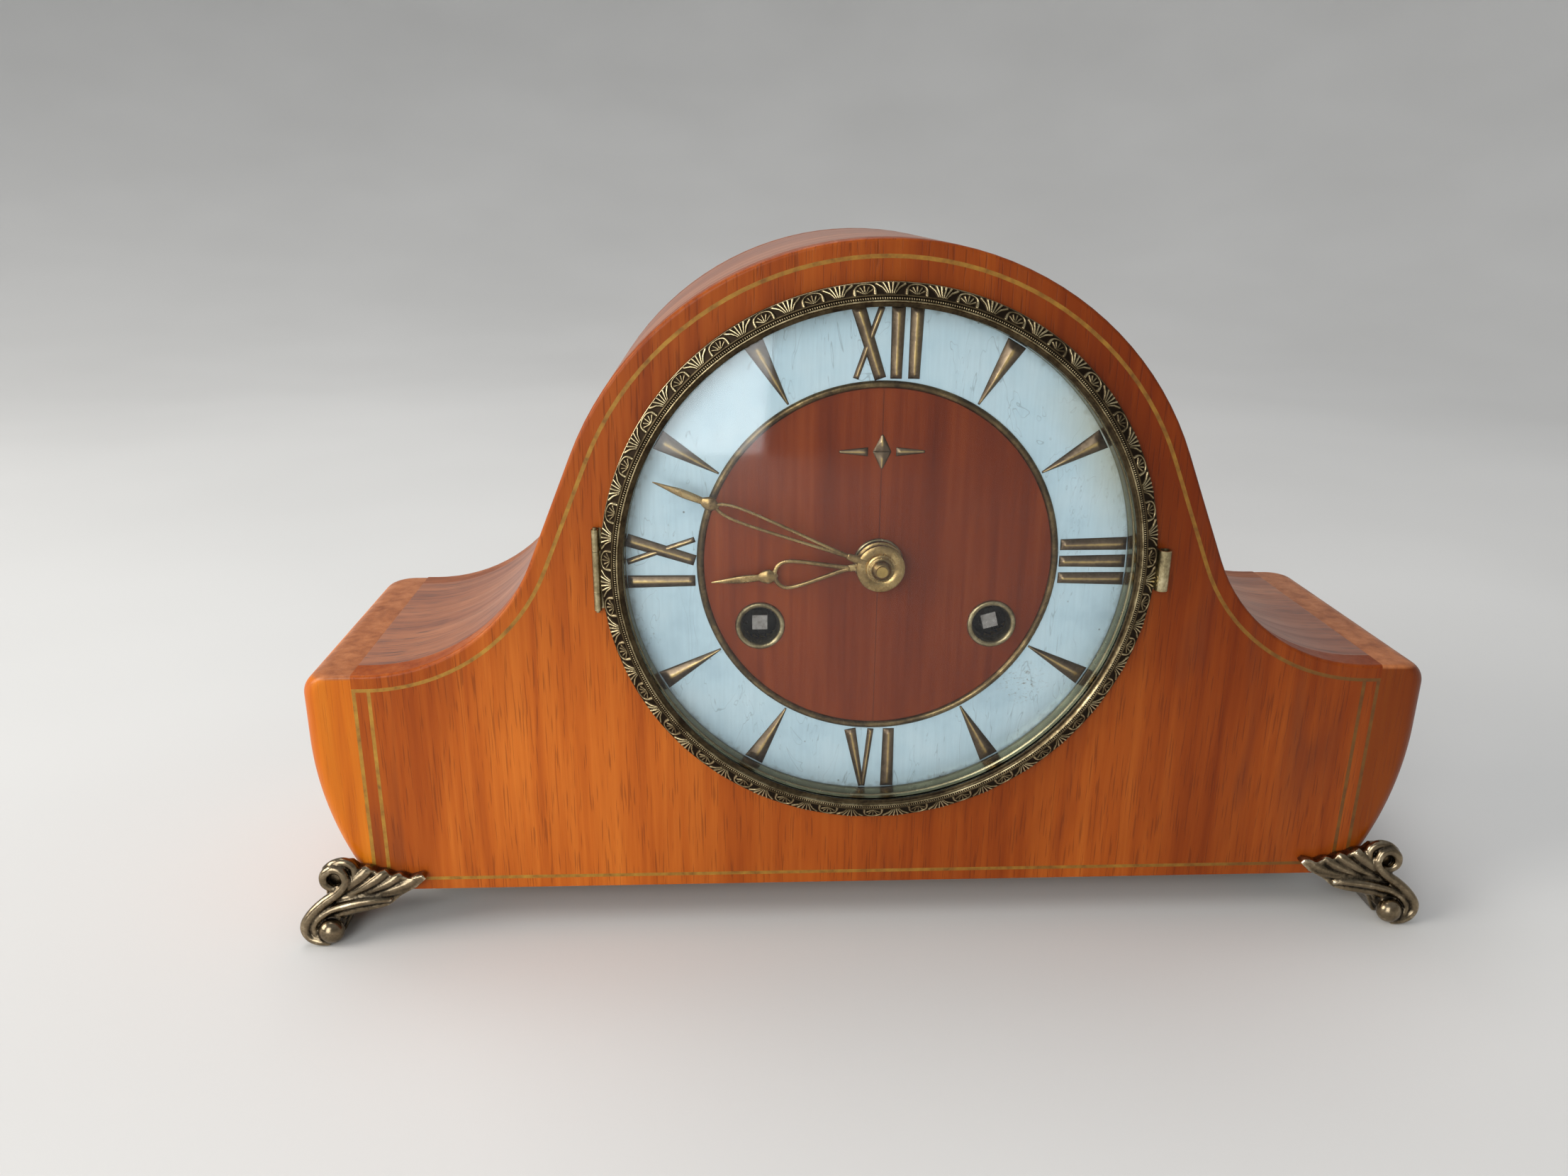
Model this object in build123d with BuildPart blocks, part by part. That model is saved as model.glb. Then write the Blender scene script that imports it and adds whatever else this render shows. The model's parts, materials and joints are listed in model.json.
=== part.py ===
from build123d import *
from math import asin, cos, degrees, hypot, pi, radians, sin, sqrt, atan2, acos
import os

# Tambour mantel clock, in millimetres.
# X runs across the front, Y from front to back, Z up.
# The origin is on the table, under the middle of the clock.
# Depths are counted backward from the case front, heights forward from it.

# Case
FOOT_LIFT = 13.0            # case bottom above the table
CASE_DEPTH = 88.0
HALF_FRONT = 146.0          # half width of the veneered front, between the end caps
HALF_CASE = 160.5           # half width over the end caps
ARCH_R = 89.4               # round top over the dial
ARCH_Z = 95.5               # arch centre above the case bottom
SWEEP_R = 51.6              # hollow curve down to the shoulder
SWEEP_X = 142.6
SWEEP_Z = 119.7
FRONT = -CASE_DEPTH / 2
FRONT_T = 8.0               # front panel thickness
BACK_T = 7.0                # back panel thickness
SKIN_T = 6.0                # bent top skin thickness
BASE_T = 10.0               # base board thickness
SHOULDER = SWEEP_Z - SWEEP_R
EDGE_R = 1.0                # rounding of the front's top edge
BULGE_R = 94.0              # curve of the end caps, leaning in toward the case bottom
BULGE_Z = FOOT_LIFT + 48.0
CAP_CORNER = 6.5            # rounded shoulder of the end caps
CAP_EDGE = 5.0              # rounded upright edges of the end caps
INNER_FRONT = FRONT_T
INNER_BACK = CASE_DEPTH - BACK_T

# Inlaid stringing
LINE_W = 1.05
LINE_DEEP = 0.6
LINE_INSET = 3.9            # from the outline to the line's outer side
LINE_PITCH = 4.1            # between the two upright lines
LINE_LOW = 3.0              # lowest line above the case bottom

# Dial
DIAL_Z = FOOT_LIFT + 98.9
DIAL_DEPTH = 3.8            # dial surface behind the case front
PAN_R = 71.0
PAN_BORE = 70.5
FLANGE_R = 75.0             # pan flange, on the case front under the bezel
FLANGE_T = 0.5
RING_OUTER = 70.0
RING_INNER = 50.0
CENTRE_R = 48.0
SHEET_T = 0.8
WIND_X = 32.6
WIND_Z = -18.3              # winding holes, from the dial centre
NUMERAL_T = 0.6

# Bezel
BEZEL_R = 75.6
BEZEL_BACK_H = 0.7          # heights before the case front
LIP_H = 3.4                 # underside of the bezel's lip, over the glass
CREST_H = 4.7
GLASS_EDGE = 70.8
GLASS_RISE = 7.5
GLASS_T = 1.3
HINGE_X = -76.65
HINGE_H = 2.1
KNUCKLE_R = 1.0
PIN_R = 0.55
RUN = 0.05                  # radial clearance of a running fit

# Hands, shown at 8:48.6
MINUTE_ANGLE = 291.6
HOUR_ANGLE = 264.3
HUB_R = 6.6
HAND_T = 0.8
HOUR_H = -1.8               # back of the hour hand, before the case front
MINUTE_H = 1.7
NUT_R = 3.5
NUT_TOP_H = 4.9
ARBOR_TIP_H = 5.4

# Movement, depths behind the case front
PLATE_FRONT = 14.0
PLATE_T = 1.5
PLATE_BACK = 47.5
INSIDE = PLATE_FRONT + PLATE_T
TRAIN_R = 1.2               # train arbors
PIVOT_R = 0.9
BARREL_AT = (WIND_X, WIND_Z)
STRIKE_BARREL_AT = (-WIND_X, WIND_Z)
STUD_AT = (0.0, -12.0)      # minute wheel stud
PENDULUM_Z = 46.0           # pallet arbor and pendulum pivot, above the dial centre
ESCAPE_AT = (0.0, 33.0)
PALLET_AT = (0.0, PENDULUM_Z)
HAMMER_AT = (-28.0, -44.0)
BOB_DROP = 107.0            # pendulum pivot to bob centre
ROD_DEPTH = 56.0
GREAT_TEETH = 80
GREAT_MODULE = 0.6
PINION_TEETH = 10
INTERMEDIATE_TEETH = 60
INTERMEDIATE_MODULE = 0.5   # intermediate wheel and centre pinion
CENTRE_PINION = 12
CENTRE_TEETH = 96
CENTRE_MODULE = 0.34        # centre wheel and third pinion
THIRD_TEETH = 96
THIRD_MODULE = 0.30         # third wheel and escape pinion
PIN_TEETH = 64
PIN_MODULE = 0.45           # pin wheel and warning pinion
WARNING_TEETH = 56
WARNING_MODULE = 0.4        # warning wheel and fly pinion
LEAF_TEETH = 8              # small pinions

os.makedirs("parts", exist_ok=True)


def save(builder, label):
    """Name a finished piece and write it."""
    builder.part.label = label
    export_step(builder.part, f"parts/{label}.step")


def facing(depth, x=0.0, z=0.0):
    """Plane parallel to the case front at a depth behind it, its local axes along X and up."""
    return Plane(origin=(x, FRONT + depth, z), x_dir=(1, 0, 0), z_dir=(0, -1, 0))


def dial_plane(depth, at=(0.0, 0.0)):
    """Facing plane with its origin at a place on the dial, counted from the dial centre."""
    return facing(depth, at[0], DIAL_Z + at[1])


def section_plane():
    """Plane of a turned ring's section: local x is the radius, local y the height before the case front."""
    return Plane(origin=(0, FRONT, DIAL_Z), x_dir=(1, 0, 0), z_dir=(0, 0, -1))


DIAL_AXIS = Axis((0, FRONT, DIAL_Z), (0, 1, 0))


def meeting_point(first, first_distance, second, second_distance, side):
    """Place at given distances from two others, on the left (1) or right (-1) of the way between them."""
    dx = second[0] - first[0]
    dz = second[1] - first[1]
    span = hypot(dx, dz)
    along = (first_distance**2 - second_distance**2 + span**2) / (2 * span)
    across = side * sqrt(first_distance**2 - along**2)
    return (
        first[0] + (along * dx - across * dz) / span,
        first[1] + (along * dz + across * dx) / span,
    )


def place_from(start, distance, direction):
    """Place at a distance from another, in a direction in degrees."""
    return (
        start[0] + distance * cos(radians(direction)),
        start[1] + distance * sin(radians(direction)),
    )


def bearing(start, end):
    """Angle in degrees of the way from one place to another."""
    return degrees(atan2(end[1] - start[1], end[0] - start[0]))


def pitch_r(teeth, module):
    """Pitch radius of a gear."""
    return teeth * module / 2


# Places of the train arbors, each set by the centre distances of its two meshes
INTERMEDIATE_AT = meeting_point(
    (0.0, 0.0),
    pitch_r(INTERMEDIATE_TEETH + CENTRE_PINION, INTERMEDIATE_MODULE),
    BARREL_AT,
    pitch_r(GREAT_TEETH + PINION_TEETH, GREAT_MODULE),
    1,
)
THIRD_AT = meeting_point(
    (0.0, 0.0),
    pitch_r(CENTRE_TEETH + LEAF_TEETH, CENTRE_MODULE),
    ESCAPE_AT,
    pitch_r(THIRD_TEETH + LEAF_TEETH, THIRD_MODULE),
    1,
)
PIN_WHEEL_AT = place_from(STRIKE_BARREL_AT, pitch_r(GREAT_TEETH + PINION_TEETH, GREAT_MODULE), 97.0)
WARNING_AT = place_from(PIN_WHEEL_AT, pitch_r(PIN_TEETH + LEAF_TEETH, PIN_MODULE), 75.2)
FLY_AT = place_from(WARNING_AT, pitch_r(WARNING_TEETH + LEAF_TEETH, WARNING_MODULE), 81.9)


def gear_face(teeth, module, phase):
    """Toothed outline with one tooth centred at the phase angle, with generous backlash."""
    pitch = pitch_r(teeth, module)
    root = pitch - 1.05 * module
    tip = pitch + 0.6 * module
    root_half = 0.85 * module / root
    tip_half = 0.32 * module / tip
    corners = []
    for tooth in range(teeth):
        middle = radians(phase) + 2 * pi * tooth / teeth
        for radius, shift in ((root, -root_half), (tip, -tip_half), (tip, tip_half), (root, root_half)):
            corners.append((radius * cos(middle + shift), radius * sin(middle + shift)))
    with BuildSketch() as outline:
        Polygon(*corners, align=None)
    return outline.sketch


def crossed_wheel(teeth, module, phase, hub_r, spokes):
    """Toothed wheel with its web cut away between straight spokes."""
    rim_r = pitch_r(teeth, module) - 2.6 * max(module, 0.45)
    spoke_w = 0.13 * rim_r + 0.6
    with BuildSketch() as wheel:
        add(gear_face(teeth, module, phase))
        with BuildSketch(mode=Mode.SUBTRACT):
            Circle(rim_r)
            Circle(hub_r, mode=Mode.SUBTRACT)
            with PolarLocations(0, spokes, start_angle=phase):
                Rectangle(rim_r + 1, spoke_w, align=(Align.MIN, Align.CENTER), mode=Mode.SUBTRACT)
    return wheel.sketch


def tooth_phase(teeth, toward, gap=False):
    """Phase that puts a tooth, or a gap, on the line toward a mating gear."""
    return toward + (180 / teeth if gap else 0)


def going_wheel(teeth, module, at, mate_at, hub_r, spokes):
    """Crossed wheel with a tooth on the line toward the pinion it drives."""
    return crossed_wheel(teeth, module, tooth_phase(teeth, bearing(at, mate_at)), hub_r, spokes)


def leaf_pinion(module, at, mate_at):
    """Outline of a small pinion with a gap on the line toward its mate."""
    return gear_face(LEAF_TEETH, module, tooth_phase(LEAF_TEETH, bearing(at, mate_at), gap=True))


def disc_face(radius, bore=0.0):
    """Round face with an optional bore."""
    with BuildSketch() as disc:
        Circle(radius)
        if bore:
            Circle(bore, mode=Mode.SUBTRACT)
    return disc.sketch


def stack(at, layers):
    """One solid made of faces extruded between pairs of depths, about a place on the dial."""
    with BuildPart() as pile:
        for face, near, far in layers:
            extrude(dial_plane(far, at) * face, amount=far - near, dir=(0, -1, 0))
    return pile


def train_arbor(at, gears, near=PLATE_FRONT, far=PLATE_BACK + PLATE_T, radius=TRAIN_R):
    """Arbor with pivots at both plates and its gears."""
    layers = [
        (disc_face(PIVOT_R), near, far),
        (disc_face(radius), INSIDE + 0.3, PLATE_BACK - 0.3),
    ]
    return stack(at, layers + gears)


def case_outline(inset=0.0):
    """Front outline of the veneered case, its curves moved inward by the inset."""
    span = hypot(SWEEP_X, SWEEP_Z - ARCH_Z)
    turn = degrees(atan2(SWEEP_Z - ARCH_Z, SWEEP_X) + acos((ARCH_R + SWEEP_R) / span))
    arch_r = ARCH_R - inset
    sweep_r = SWEEP_R + inset
    arch_z = FOOT_LIFT + ARCH_Z
    sweep_z = FOOT_LIFT + SWEEP_Z
    with BuildSketch() as outline:
        with BuildLine():
            arch = CenterArc((0, arch_z), arch_r, turn, 90 - turn)
            sweep_arc = CenterArc((SWEEP_X, sweep_z), sweep_r, 180 + turn, 90 - turn)
            Line(arch @ 0, sweep_arc @ 0)
            Polyline(
                sweep_arc @ 1,
                (HALF_FRONT, sweep_z - sweep_r),
                (HALF_FRONT, FOOT_LIFT),
                (0, FOOT_LIFT),
            )
            mirror(about=Plane.YZ)
        make_face()
    return outline.sketch


def stringing_lines():
    """Faces of the inlaid lines: along the top, two uprights at each end and one along the bottom."""
    height = SHOULDER - LINE_INSET
    with BuildSketch() as lines:
        add(case_outline(LINE_INSET))
        add(case_outline(LINE_INSET + LINE_W), mode=Mode.SUBTRACT)
        for inset in (0, LINE_PITCH):
            for side in (-1, 1):
                with Locations((side * (HALF_FRONT - inset - LINE_W / 2), FOOT_LIFT)):
                    Rectangle(LINE_W, height, align=(Align.CENTER, Align.MIN))
        with Locations((0, FOOT_LIFT + LINE_LOW)):
            Rectangle(2 * HALF_FRONT, LINE_W, align=(Align.CENTER, Align.MIN))
    return lines.sketch


# ---------------------------------------------------------------- case

SCREW_R = 1.5
SCREW_HEAD_R = 3.0
MOUNT_R = 75.5              # movement screws, from the dial centre
MOUNT_ANGLES = (45, 135, 225, 315)
DOOR_Z = FOOT_LIFT + 92.0
DOOR_HOLE_R = 60.0
DOOR_R = 64.0
FOOT_SCREW_X = 130.0
FOOT_SCREW_DEPTH = 13.0

with BuildPart() as front_panel:
    extrude(facing(FRONT_T) * case_outline(), amount=FRONT_T, dir=(0, -1, 0))
    top_edges = front_panel.faces().sort_by(Axis.Y)[0].edges().filter_by(
        lambda edge: edge.center().Z > FOOT_LIFT + SHOULDER - 1
    )
    fillet(top_edges, EDGE_R)
    extrude(facing(LINE_DEEP) * stringing_lines(), amount=LINE_DEEP + 1, dir=(0, -1, 0), mode=Mode.SUBTRACT)
    with BuildSketch(dial_plane(FRONT_T)):
        Circle(PAN_R + 0.2)
    extrude(amount=FRONT_T + 1, mode=Mode.SUBTRACT)
    with BuildSketch(dial_plane(FRONT_T)):
        with PolarLocations(MOUNT_R, len(MOUNT_ANGLES), start_angle=MOUNT_ANGLES[0]):
            Circle(SCREW_R)
    extrude(amount=6.0, mode=Mode.SUBTRACT)
save(front_panel, "front_panel")

with BuildPart() as stringing:
    extrude(facing(LINE_DEEP) * stringing_lines(), amount=LINE_DEEP, dir=(0, -1, 0))
save(stringing, "stringing")

with BuildPart() as top_shell:
    extrude(facing(INNER_BACK) * case_outline(), amount=INNER_BACK - INNER_FRONT, dir=(0, -1, 0))
    extrude(
        facing(INNER_BACK + 1) * case_outline(SKIN_T),
        amount=INNER_BACK - INNER_FRONT + 2,
        dir=(0, -1, 0),
        mode=Mode.SUBTRACT,
    )
save(top_shell, "top_shell")

with BuildPart() as base_board:
    with BuildSketch(Plane.XY.offset(FOOT_LIFT)):
        with Locations((0, FRONT + (INNER_FRONT + INNER_BACK) / 2)):
            Rectangle(2 * HALF_FRONT, INNER_BACK - INNER_FRONT)
    extrude(amount=BASE_T)
    with BuildSketch(Plane.XY.offset(FOOT_LIFT)):
        with GridLocations(2 * FOOT_SCREW_X, CASE_DEPTH - 2 * FOOT_SCREW_DEPTH, 2, 2):
            Circle(SCREW_R)
    extrude(amount=8.0, mode=Mode.SUBTRACT)
save(base_board, "base_board")


def cap_section(height):
    """Level section of the right end cap, its outer corners rounded as far as its width allows."""
    width = HALF_CASE - BULGE_R + sqrt(BULGE_R**2 - (BULGE_Z - height) ** 2) - HALF_FRONT
    with BuildSketch(Plane.XY.offset(height)) as section:
        with Locations((HALF_FRONT, 0)):
            Rectangle(width, CASE_DEPTH, align=(Align.MIN, Align.CENTER))
        fillet(section.vertices().group_by(Axis.X)[-1], min(CAP_EDGE, 0.9 * width))
    return section.sketch


def end_cap(side):
    """Solid end block: leaning in below, upright above, with a rounded shoulder."""
    top = FOOT_LIFT + SHOULDER
    levels = 6
    with BuildPart() as cap:
        loft([cap_section(FOOT_LIFT + (BULGE_Z - FOOT_LIFT) * level / levels) for level in range(levels + 1)])
        extrude(cap_section(BULGE_Z), amount=top - BULGE_Z)
        with BuildSketch(facing(CASE_DEPTH + 1)):
            with BuildLine():
                Polyline(
                    (HALF_CASE, top - CAP_CORNER),
                    (HALF_CASE + 1, top - CAP_CORNER),
                    (HALF_CASE + 1, FOOT_LIFT - 1),
                    (HALF_FRONT - 1, FOOT_LIFT - 1),
                    (HALF_FRONT - 1, top),
                    (HALF_CASE - CAP_CORNER, top),
                )
                CenterArc((HALF_CASE - CAP_CORNER, top - CAP_CORNER), CAP_CORNER, 0, 90)
            make_face()
        extrude(amount=CASE_DEPTH + 2, mode=Mode.INTERSECT)
        if side < 0:
            mirror(about=Plane.YZ, mode=Mode.REPLACE)
    return cap


for side, word in ((-1, "left"), (1, "right")):
    save(end_cap(side), f"end_cap_{word}")

with BuildPart() as back_panel:
    extrude(facing(CASE_DEPTH) * case_outline(), amount=BACK_T, dir=(0, -1, 0))
    with BuildSketch(facing(CASE_DEPTH, 0, DOOR_Z)):
        Circle(DOOR_HOLE_R)
    extrude(amount=BACK_T + 1, mode=Mode.SUBTRACT)
save(back_panel, "back_panel")

# ---------------------------------------------------------------- back door

DOOR_HINGE_X = 67.6
DOOR_HINGE_H = 2.4          # hinge axis behind the back panel
DOOR_T = 1.2
DOOR_KNUCKLE = 12.0
DOOR_KNUCKLE_R = 1.9
DOOR_PIN_R = 0.8


def hinge_barrel(x, y, z_low, z_high, radius, bore):
    """Upright hinge knuckle, to be made inside a part."""
    with BuildSketch(Plane(origin=(x, y, z_low))) as ring:
        Circle(radius)
        Circle(bore, mode=Mode.SUBTRACT)
    return extrude(ring.sketch, amount=z_high - z_low, mode=Mode.PRIVATE)


with BuildPart() as back_door:
    with BuildSketch(facing(CASE_DEPTH + DOOR_T + 0.2, 0, DOOR_Z)):
        Circle(DOOR_R)
        with GridLocations(9.0, 0, 7, 1):
            SlotOverall(44.0, 3.0, rotation=90, mode=Mode.SUBTRACT)
    extrude(amount=DOOR_T)
    with BuildSketch(facing(CASE_DEPTH + DOOR_T + 0.2, 0, DOOR_Z)):
        with Locations((DOOR_HINGE_X, 0)):
            Rectangle(10.0, DOOR_KNUCKLE - 1, align=(Align.MAX, Align.CENTER))
    extrude(amount=DOOR_T)
    hinge_y = FRONT + CASE_DEPTH + DOOR_HINGE_H
    with BuildSketch(Plane(origin=(DOOR_HINGE_X, hinge_y, DOOR_Z - DOOR_KNUCKLE / 2 + 0.3))):
        Circle(DOOR_KNUCKLE_R)
    extrude(amount=DOOR_KNUCKLE - 0.6)
    with BuildSketch(Plane(origin=(DOOR_HINGE_X, hinge_y, DOOR_Z - DOOR_KNUCKLE))):
        Circle(DOOR_PIN_R + RUN)
    extrude(amount=2 * DOOR_KNUCKLE, mode=Mode.SUBTRACT)
    with BuildSketch(facing(CASE_DEPTH + 3, -56.0, DOOR_Z)):
        Circle(1.2)
    extrude(amount=4.0, mode=Mode.SUBTRACT)
save(back_door, "back_door")

with BuildPart() as back_door_hinge:
    with BuildSketch(facing(CASE_DEPTH + 1.0, 0, DOOR_Z)):
        with Locations((DOOR_HINGE_X + 0.4, 0)):
            Rectangle(9.0, 3 * DOOR_KNUCKLE, align=(Align.MIN, Align.CENTER))
            with Locations((-2.2, 0)):
                Rectangle(4.2, DOOR_KNUCKLE + 1, align=(Align.MIN, Align.CENTER), mode=Mode.SUBTRACT)
    extrude(amount=1.0)
    for low in (-1.5 * DOOR_KNUCKLE, 0.5 * DOOR_KNUCKLE):
        add(
            hinge_barrel(
                DOOR_HINGE_X, hinge_y, DOOR_Z + low, DOOR_Z + low + DOOR_KNUCKLE, DOOR_KNUCKLE_R, DOOR_PIN_R
            )
        )
    with BuildSketch(Plane(origin=(DOOR_HINGE_X, hinge_y, DOOR_Z - 1.5 * DOOR_KNUCKLE))):
        Circle(DOOR_PIN_R)
    extrude(amount=3 * DOOR_KNUCKLE)
save(back_door_hinge, "back_door_hinge")

with BuildPart() as door_knob:
    with BuildSketch(Plane(origin=(-56.0, FRONT + CASE_DEPTH, DOOR_Z), x_dir=(1, 0, 0), z_dir=(0, 0, 1))):
        with BuildLine():
            Polyline(
                (0, 0.2),
                (1.2, 0.2),
                (1.2, 1.4),
                (3.0, 1.4),
                (2.0, 3.0),
                (3.6, 5.0),
                (3.6, 6.2),
                (2.6, 7.4),
                (0, 7.8),
                close=True,
            )
        make_face()
    revolve(axis=Axis((-56.0, FRONT + CASE_DEPTH, DOOR_Z), (0, 1, 0)))
save(door_knob, "door_knob")

# ---------------------------------------------------------------- feet

FOOT_REACH = 11.0           # front of the lower scroll before the case front
PLATE_REACH = 5.6           # front of the leaf
SCROLL_R = 4.3
SCROLL_X = 160.0
VOLUTE_X = 156.4
VOLUTE_Z = 20.4
VOLUTE_R = 4.6
FLANGE_LOW = FOOT_LIFT - 2.5
SOLE_IN = 154.5             # inner and outer end of the sole on the table
SOLE_OUT = 161.5
LEAF_TIP = (129.3, 20.2)
LEAF_ROOT = (131.2, 14.4)
LEAF_TOP = (151.4, 26.0)
LEAF_OUT = (166.4, 5.2)


def scroll_foot(side, end):
    """Cast corner foot: screw flange, curled leaf over the case corner and a round scroll on the table."""
    face_y = FRONT - 0.1
    with BuildPart() as foot:
        with BuildSketch(Plane.XZ.offset(-face_y)):
            with BuildLine():
                Spline(LEAF_TIP, (139.8, 21.8), (146.0, 24.0), LEAF_TOP)
                Spline(LEAF_TOP, (157.2, 25.1), (160.4, 20.5), (160.4, 15.0), (163.6, 10.6), LEAF_OUT)
                Spline(LEAF_OUT, (165.0, 1.8), (SOLE_OUT, 0.0))
                Line((SOLE_OUT, 0.0), (SOLE_IN, 0.0))
                Spline((SOLE_IN, 0.0), (148.0, 5.0), (140.0, 10.0), LEAF_ROOT)
                Spline(LEAF_ROOT, (129.0, 17.2), LEAF_TIP)
            make_face()
        extrude(amount=PLATE_REACH)
        with BuildSketch(Plane.XZ.offset(-face_y)):
            with BuildLine():
                Polyline(
                    (137.0, FOOT_LIFT),
                    (147.0, FOOT_LIFT),
                    (HALF_CASE, 9.5),
                    (HALF_CASE, 0),
                    (SOLE_IN, 0),
                )
                Spline((SOLE_IN, 0.0), (148.0, 5.0), (140.0, 10.0), (137.0, FOOT_LIFT))
            make_face()
        extrude(amount=-15.0)
        with BuildSketch(Plane.XY.offset(FLANGE_LOW)):
            with Locations((120.0, FRONT + 5.0)):
                Rectangle(26.5, 20.0, align=(Align.MIN, Align.MIN))
        extrude(amount=FOOT_LIFT - FLANGE_LOW)
        with BuildSketch(Plane.XZ.offset(-face_y + 3.0)):
            with Locations((VOLUTE_X, VOLUTE_Z)):
                Circle(VOLUTE_R)
            with Locations((SCROLL_X, SCROLL_R)):
                Circle(SCROLL_R)
        extrude(amount=FOOT_REACH - 3.1)
        with BuildSketch(Plane.XY.offset(FOOT_LIFT)):
            with Locations((FOOT_SCREW_X, FRONT + FOOT_SCREW_DEPTH)):
                Circle(SCREW_R)
        extrude(amount=-5.0, mode=Mode.SUBTRACT)
        if side < 0:
            mirror(about=Plane.YZ, mode=Mode.REPLACE)
        if end > 0:
            mirror(about=Plane.XZ, mode=Mode.REPLACE)
    return foot


for side, side_word in ((-1, "left"), (1, "right")):
    for end, end_word in ((-1, "front"), (1, "rear")):
        save(scroll_foot(side, end), f"foot_{end_word}_{side_word}")

# ---------------------------------------------------------------- dial

FLOOR_DEPTH = DIAL_DEPTH + SHEET_T
PAN_BACK = FLOOR_DEPTH + SHEET_T
EYELET_R = 6.95
EYELET_BORE = 5.4
HUB_EYELET_R = 6.9
HUB_EYELET_BORE = 5.75


def ring_of(points):
    """Section of a turned ring, from radius and height pairs."""
    with BuildSketch(section_plane()) as section:
        with BuildLine():
            Polyline(*points, close=True)
        make_face()
    return section.sketch


def winding_places():
    """The two winding holes, from the dial centre."""
    return Locations((-WIND_X, WIND_Z), (WIND_X, WIND_Z))


with BuildPart() as dial_pan:
    revolve(
        ring_of(
            [
                (HUB_EYELET_BORE + 0.6, -PAN_BACK),
                (PAN_R, -PAN_BACK),
                (PAN_R, 0),
                (FLANGE_R, 0),
                (FLANGE_R, FLANGE_T),
                (PAN_BORE, FLANGE_T),
                (PAN_BORE, -FLOOR_DEPTH),
                (HUB_EYELET_BORE + 0.6, -FLOOR_DEPTH),
            ]
        ),
        axis=DIAL_AXIS,
    )
    with BuildSketch(dial_plane(PAN_BACK + 1)):
        with winding_places():
            Circle(EYELET_BORE + 0.6)
    extrude(amount=3.0, mode=Mode.SUBTRACT)
save(dial_pan, "dial_pan")

with BuildPart() as chapter_ring:
    with BuildSketch(dial_plane(FLOOR_DEPTH)):
        Circle(RING_OUTER)
        Circle(RING_INNER, mode=Mode.SUBTRACT)
    extrude(amount=SHEET_T)
save(chapter_ring, "chapter_ring")

with BuildPart() as dial_centre:
    with BuildSketch(dial_plane(FLOOR_DEPTH)):
        Circle(CENTRE_R)
        Circle(HUB_EYELET_BORE + 0.6, mode=Mode.SUBTRACT)
        with winding_places():
            Circle(EYELET_BORE + 0.6, mode=Mode.SUBTRACT)
    extrude(amount=SHEET_T)
save(dial_centre, "dial_centre")

with BuildPart() as centre_ring:
    with BuildSketch(section_plane()):
        with Locations(((CENTRE_R + RING_INNER) / 2, -DIAL_DEPTH)):
            Circle((RING_INNER - CENTRE_R) / 2)
            Rectangle(
                RING_INNER - CENTRE_R, 5.0, align=(Align.CENTER, Align.MAX), mode=Mode.SUBTRACT
            )
            Rectangle(RING_INNER - CENTRE_R, SHEET_T, align=(Align.CENTER, Align.MAX))
    revolve(axis=DIAL_AXIS)
save(centre_ring, "centre_ring")


def eyelet(at, outer, bore):
    """Half-round collar on the dial with a short tube through the sheet, to be added to a part."""
    width = outer - bore
    middle = (at[0], FRONT, DIAL_Z + at[1])
    with BuildSketch(Plane(origin=middle, x_dir=(1, 0, 0), z_dir=(0, 0, -1))) as section:
        with Locations((bore + width / 2, -DIAL_DEPTH)):
            Circle(width / 2)
            Rectangle(width, width, align=(Align.CENTER, Align.MAX), mode=Mode.SUBTRACT)
        with Locations((bore, -DIAL_DEPTH)):
            Rectangle(0.6, PAN_BACK - DIAL_DEPTH, align=(Align.MIN, Align.MAX))
    return revolve(section.sketch, axis=Axis(middle, (0, 1, 0)), mode=Mode.PRIVATE)


with BuildPart() as dial_eyelets:
    for wind_side in (-1, 1):
        add(eyelet((wind_side * WIND_X, WIND_Z), EYELET_R, EYELET_BORE))
    add(eyelet((0.0, 0.0), HUB_EYELET_R, HUB_EYELET_BORE))
save(dial_eyelets, "dial_eyelets")

STROKE_OUT = 3.8            # width of a numeral's stroke at its outer end
STROKE_IN = 3.0
STROKE_LOW = RING_INNER - 2
STROKE_HIGH = RING_OUTER + 1


def stroke(outer_x, inner_x, turn, outer_w=STROKE_OUT, inner_w=STROKE_IN):
    """One tapered bar of a numeral, turned to its hour."""
    Polygon(
        (inner_x - inner_w / 2, STROKE_LOW),
        (inner_x + inner_w / 2, STROKE_LOW),
        (outer_x + outer_w / 2, STROKE_HIGH),
        (outer_x - outer_w / 2, STROKE_HIGH),
        rotation=turn,
        align=None,
    )


with BuildSketch(dial_plane(DIAL_DEPTH)) as numeral_faces:
    for outer_x, inner_x in ((-7.6, -1.0), (-1.2, -7.8), (3.1, 3.0), (8.0, 7.7)):
        stroke(outer_x, inner_x, 0)
    for bar in (-5.1, 0, 5.1):
        stroke(bar, 0.95 * bar, -90)
    for outer_x, inner_x in ((2.6, 7.6), (2.6, -2.2), (-5.4, -5.2)):
        stroke(outer_x, inner_x, 180)
    for outer_x, inner_x in ((-4.9, -4.7), (-0.4, 5.2), (5.2, -0.8)):
        stroke(outer_x, inner_x, 90)
    for hour in (1, 2, 4, 5, 7, 8, 10, 11):
        stroke(0, 0, -30 * hour, 5.9, 0.1)
    Circle(RING_OUTER - 1.2, mode=Mode.INTERSECT)
    Circle(RING_INNER + 0.4, mode=Mode.SUBTRACT)

with BuildPart() as dial_numerals:
    extrude(numeral_faces.sketch, amount=NUMERAL_T, dir=(0, -1, 0))
save(dial_numerals, "dial_numerals")

# ---------------------------------------------------------------- bezel

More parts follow.
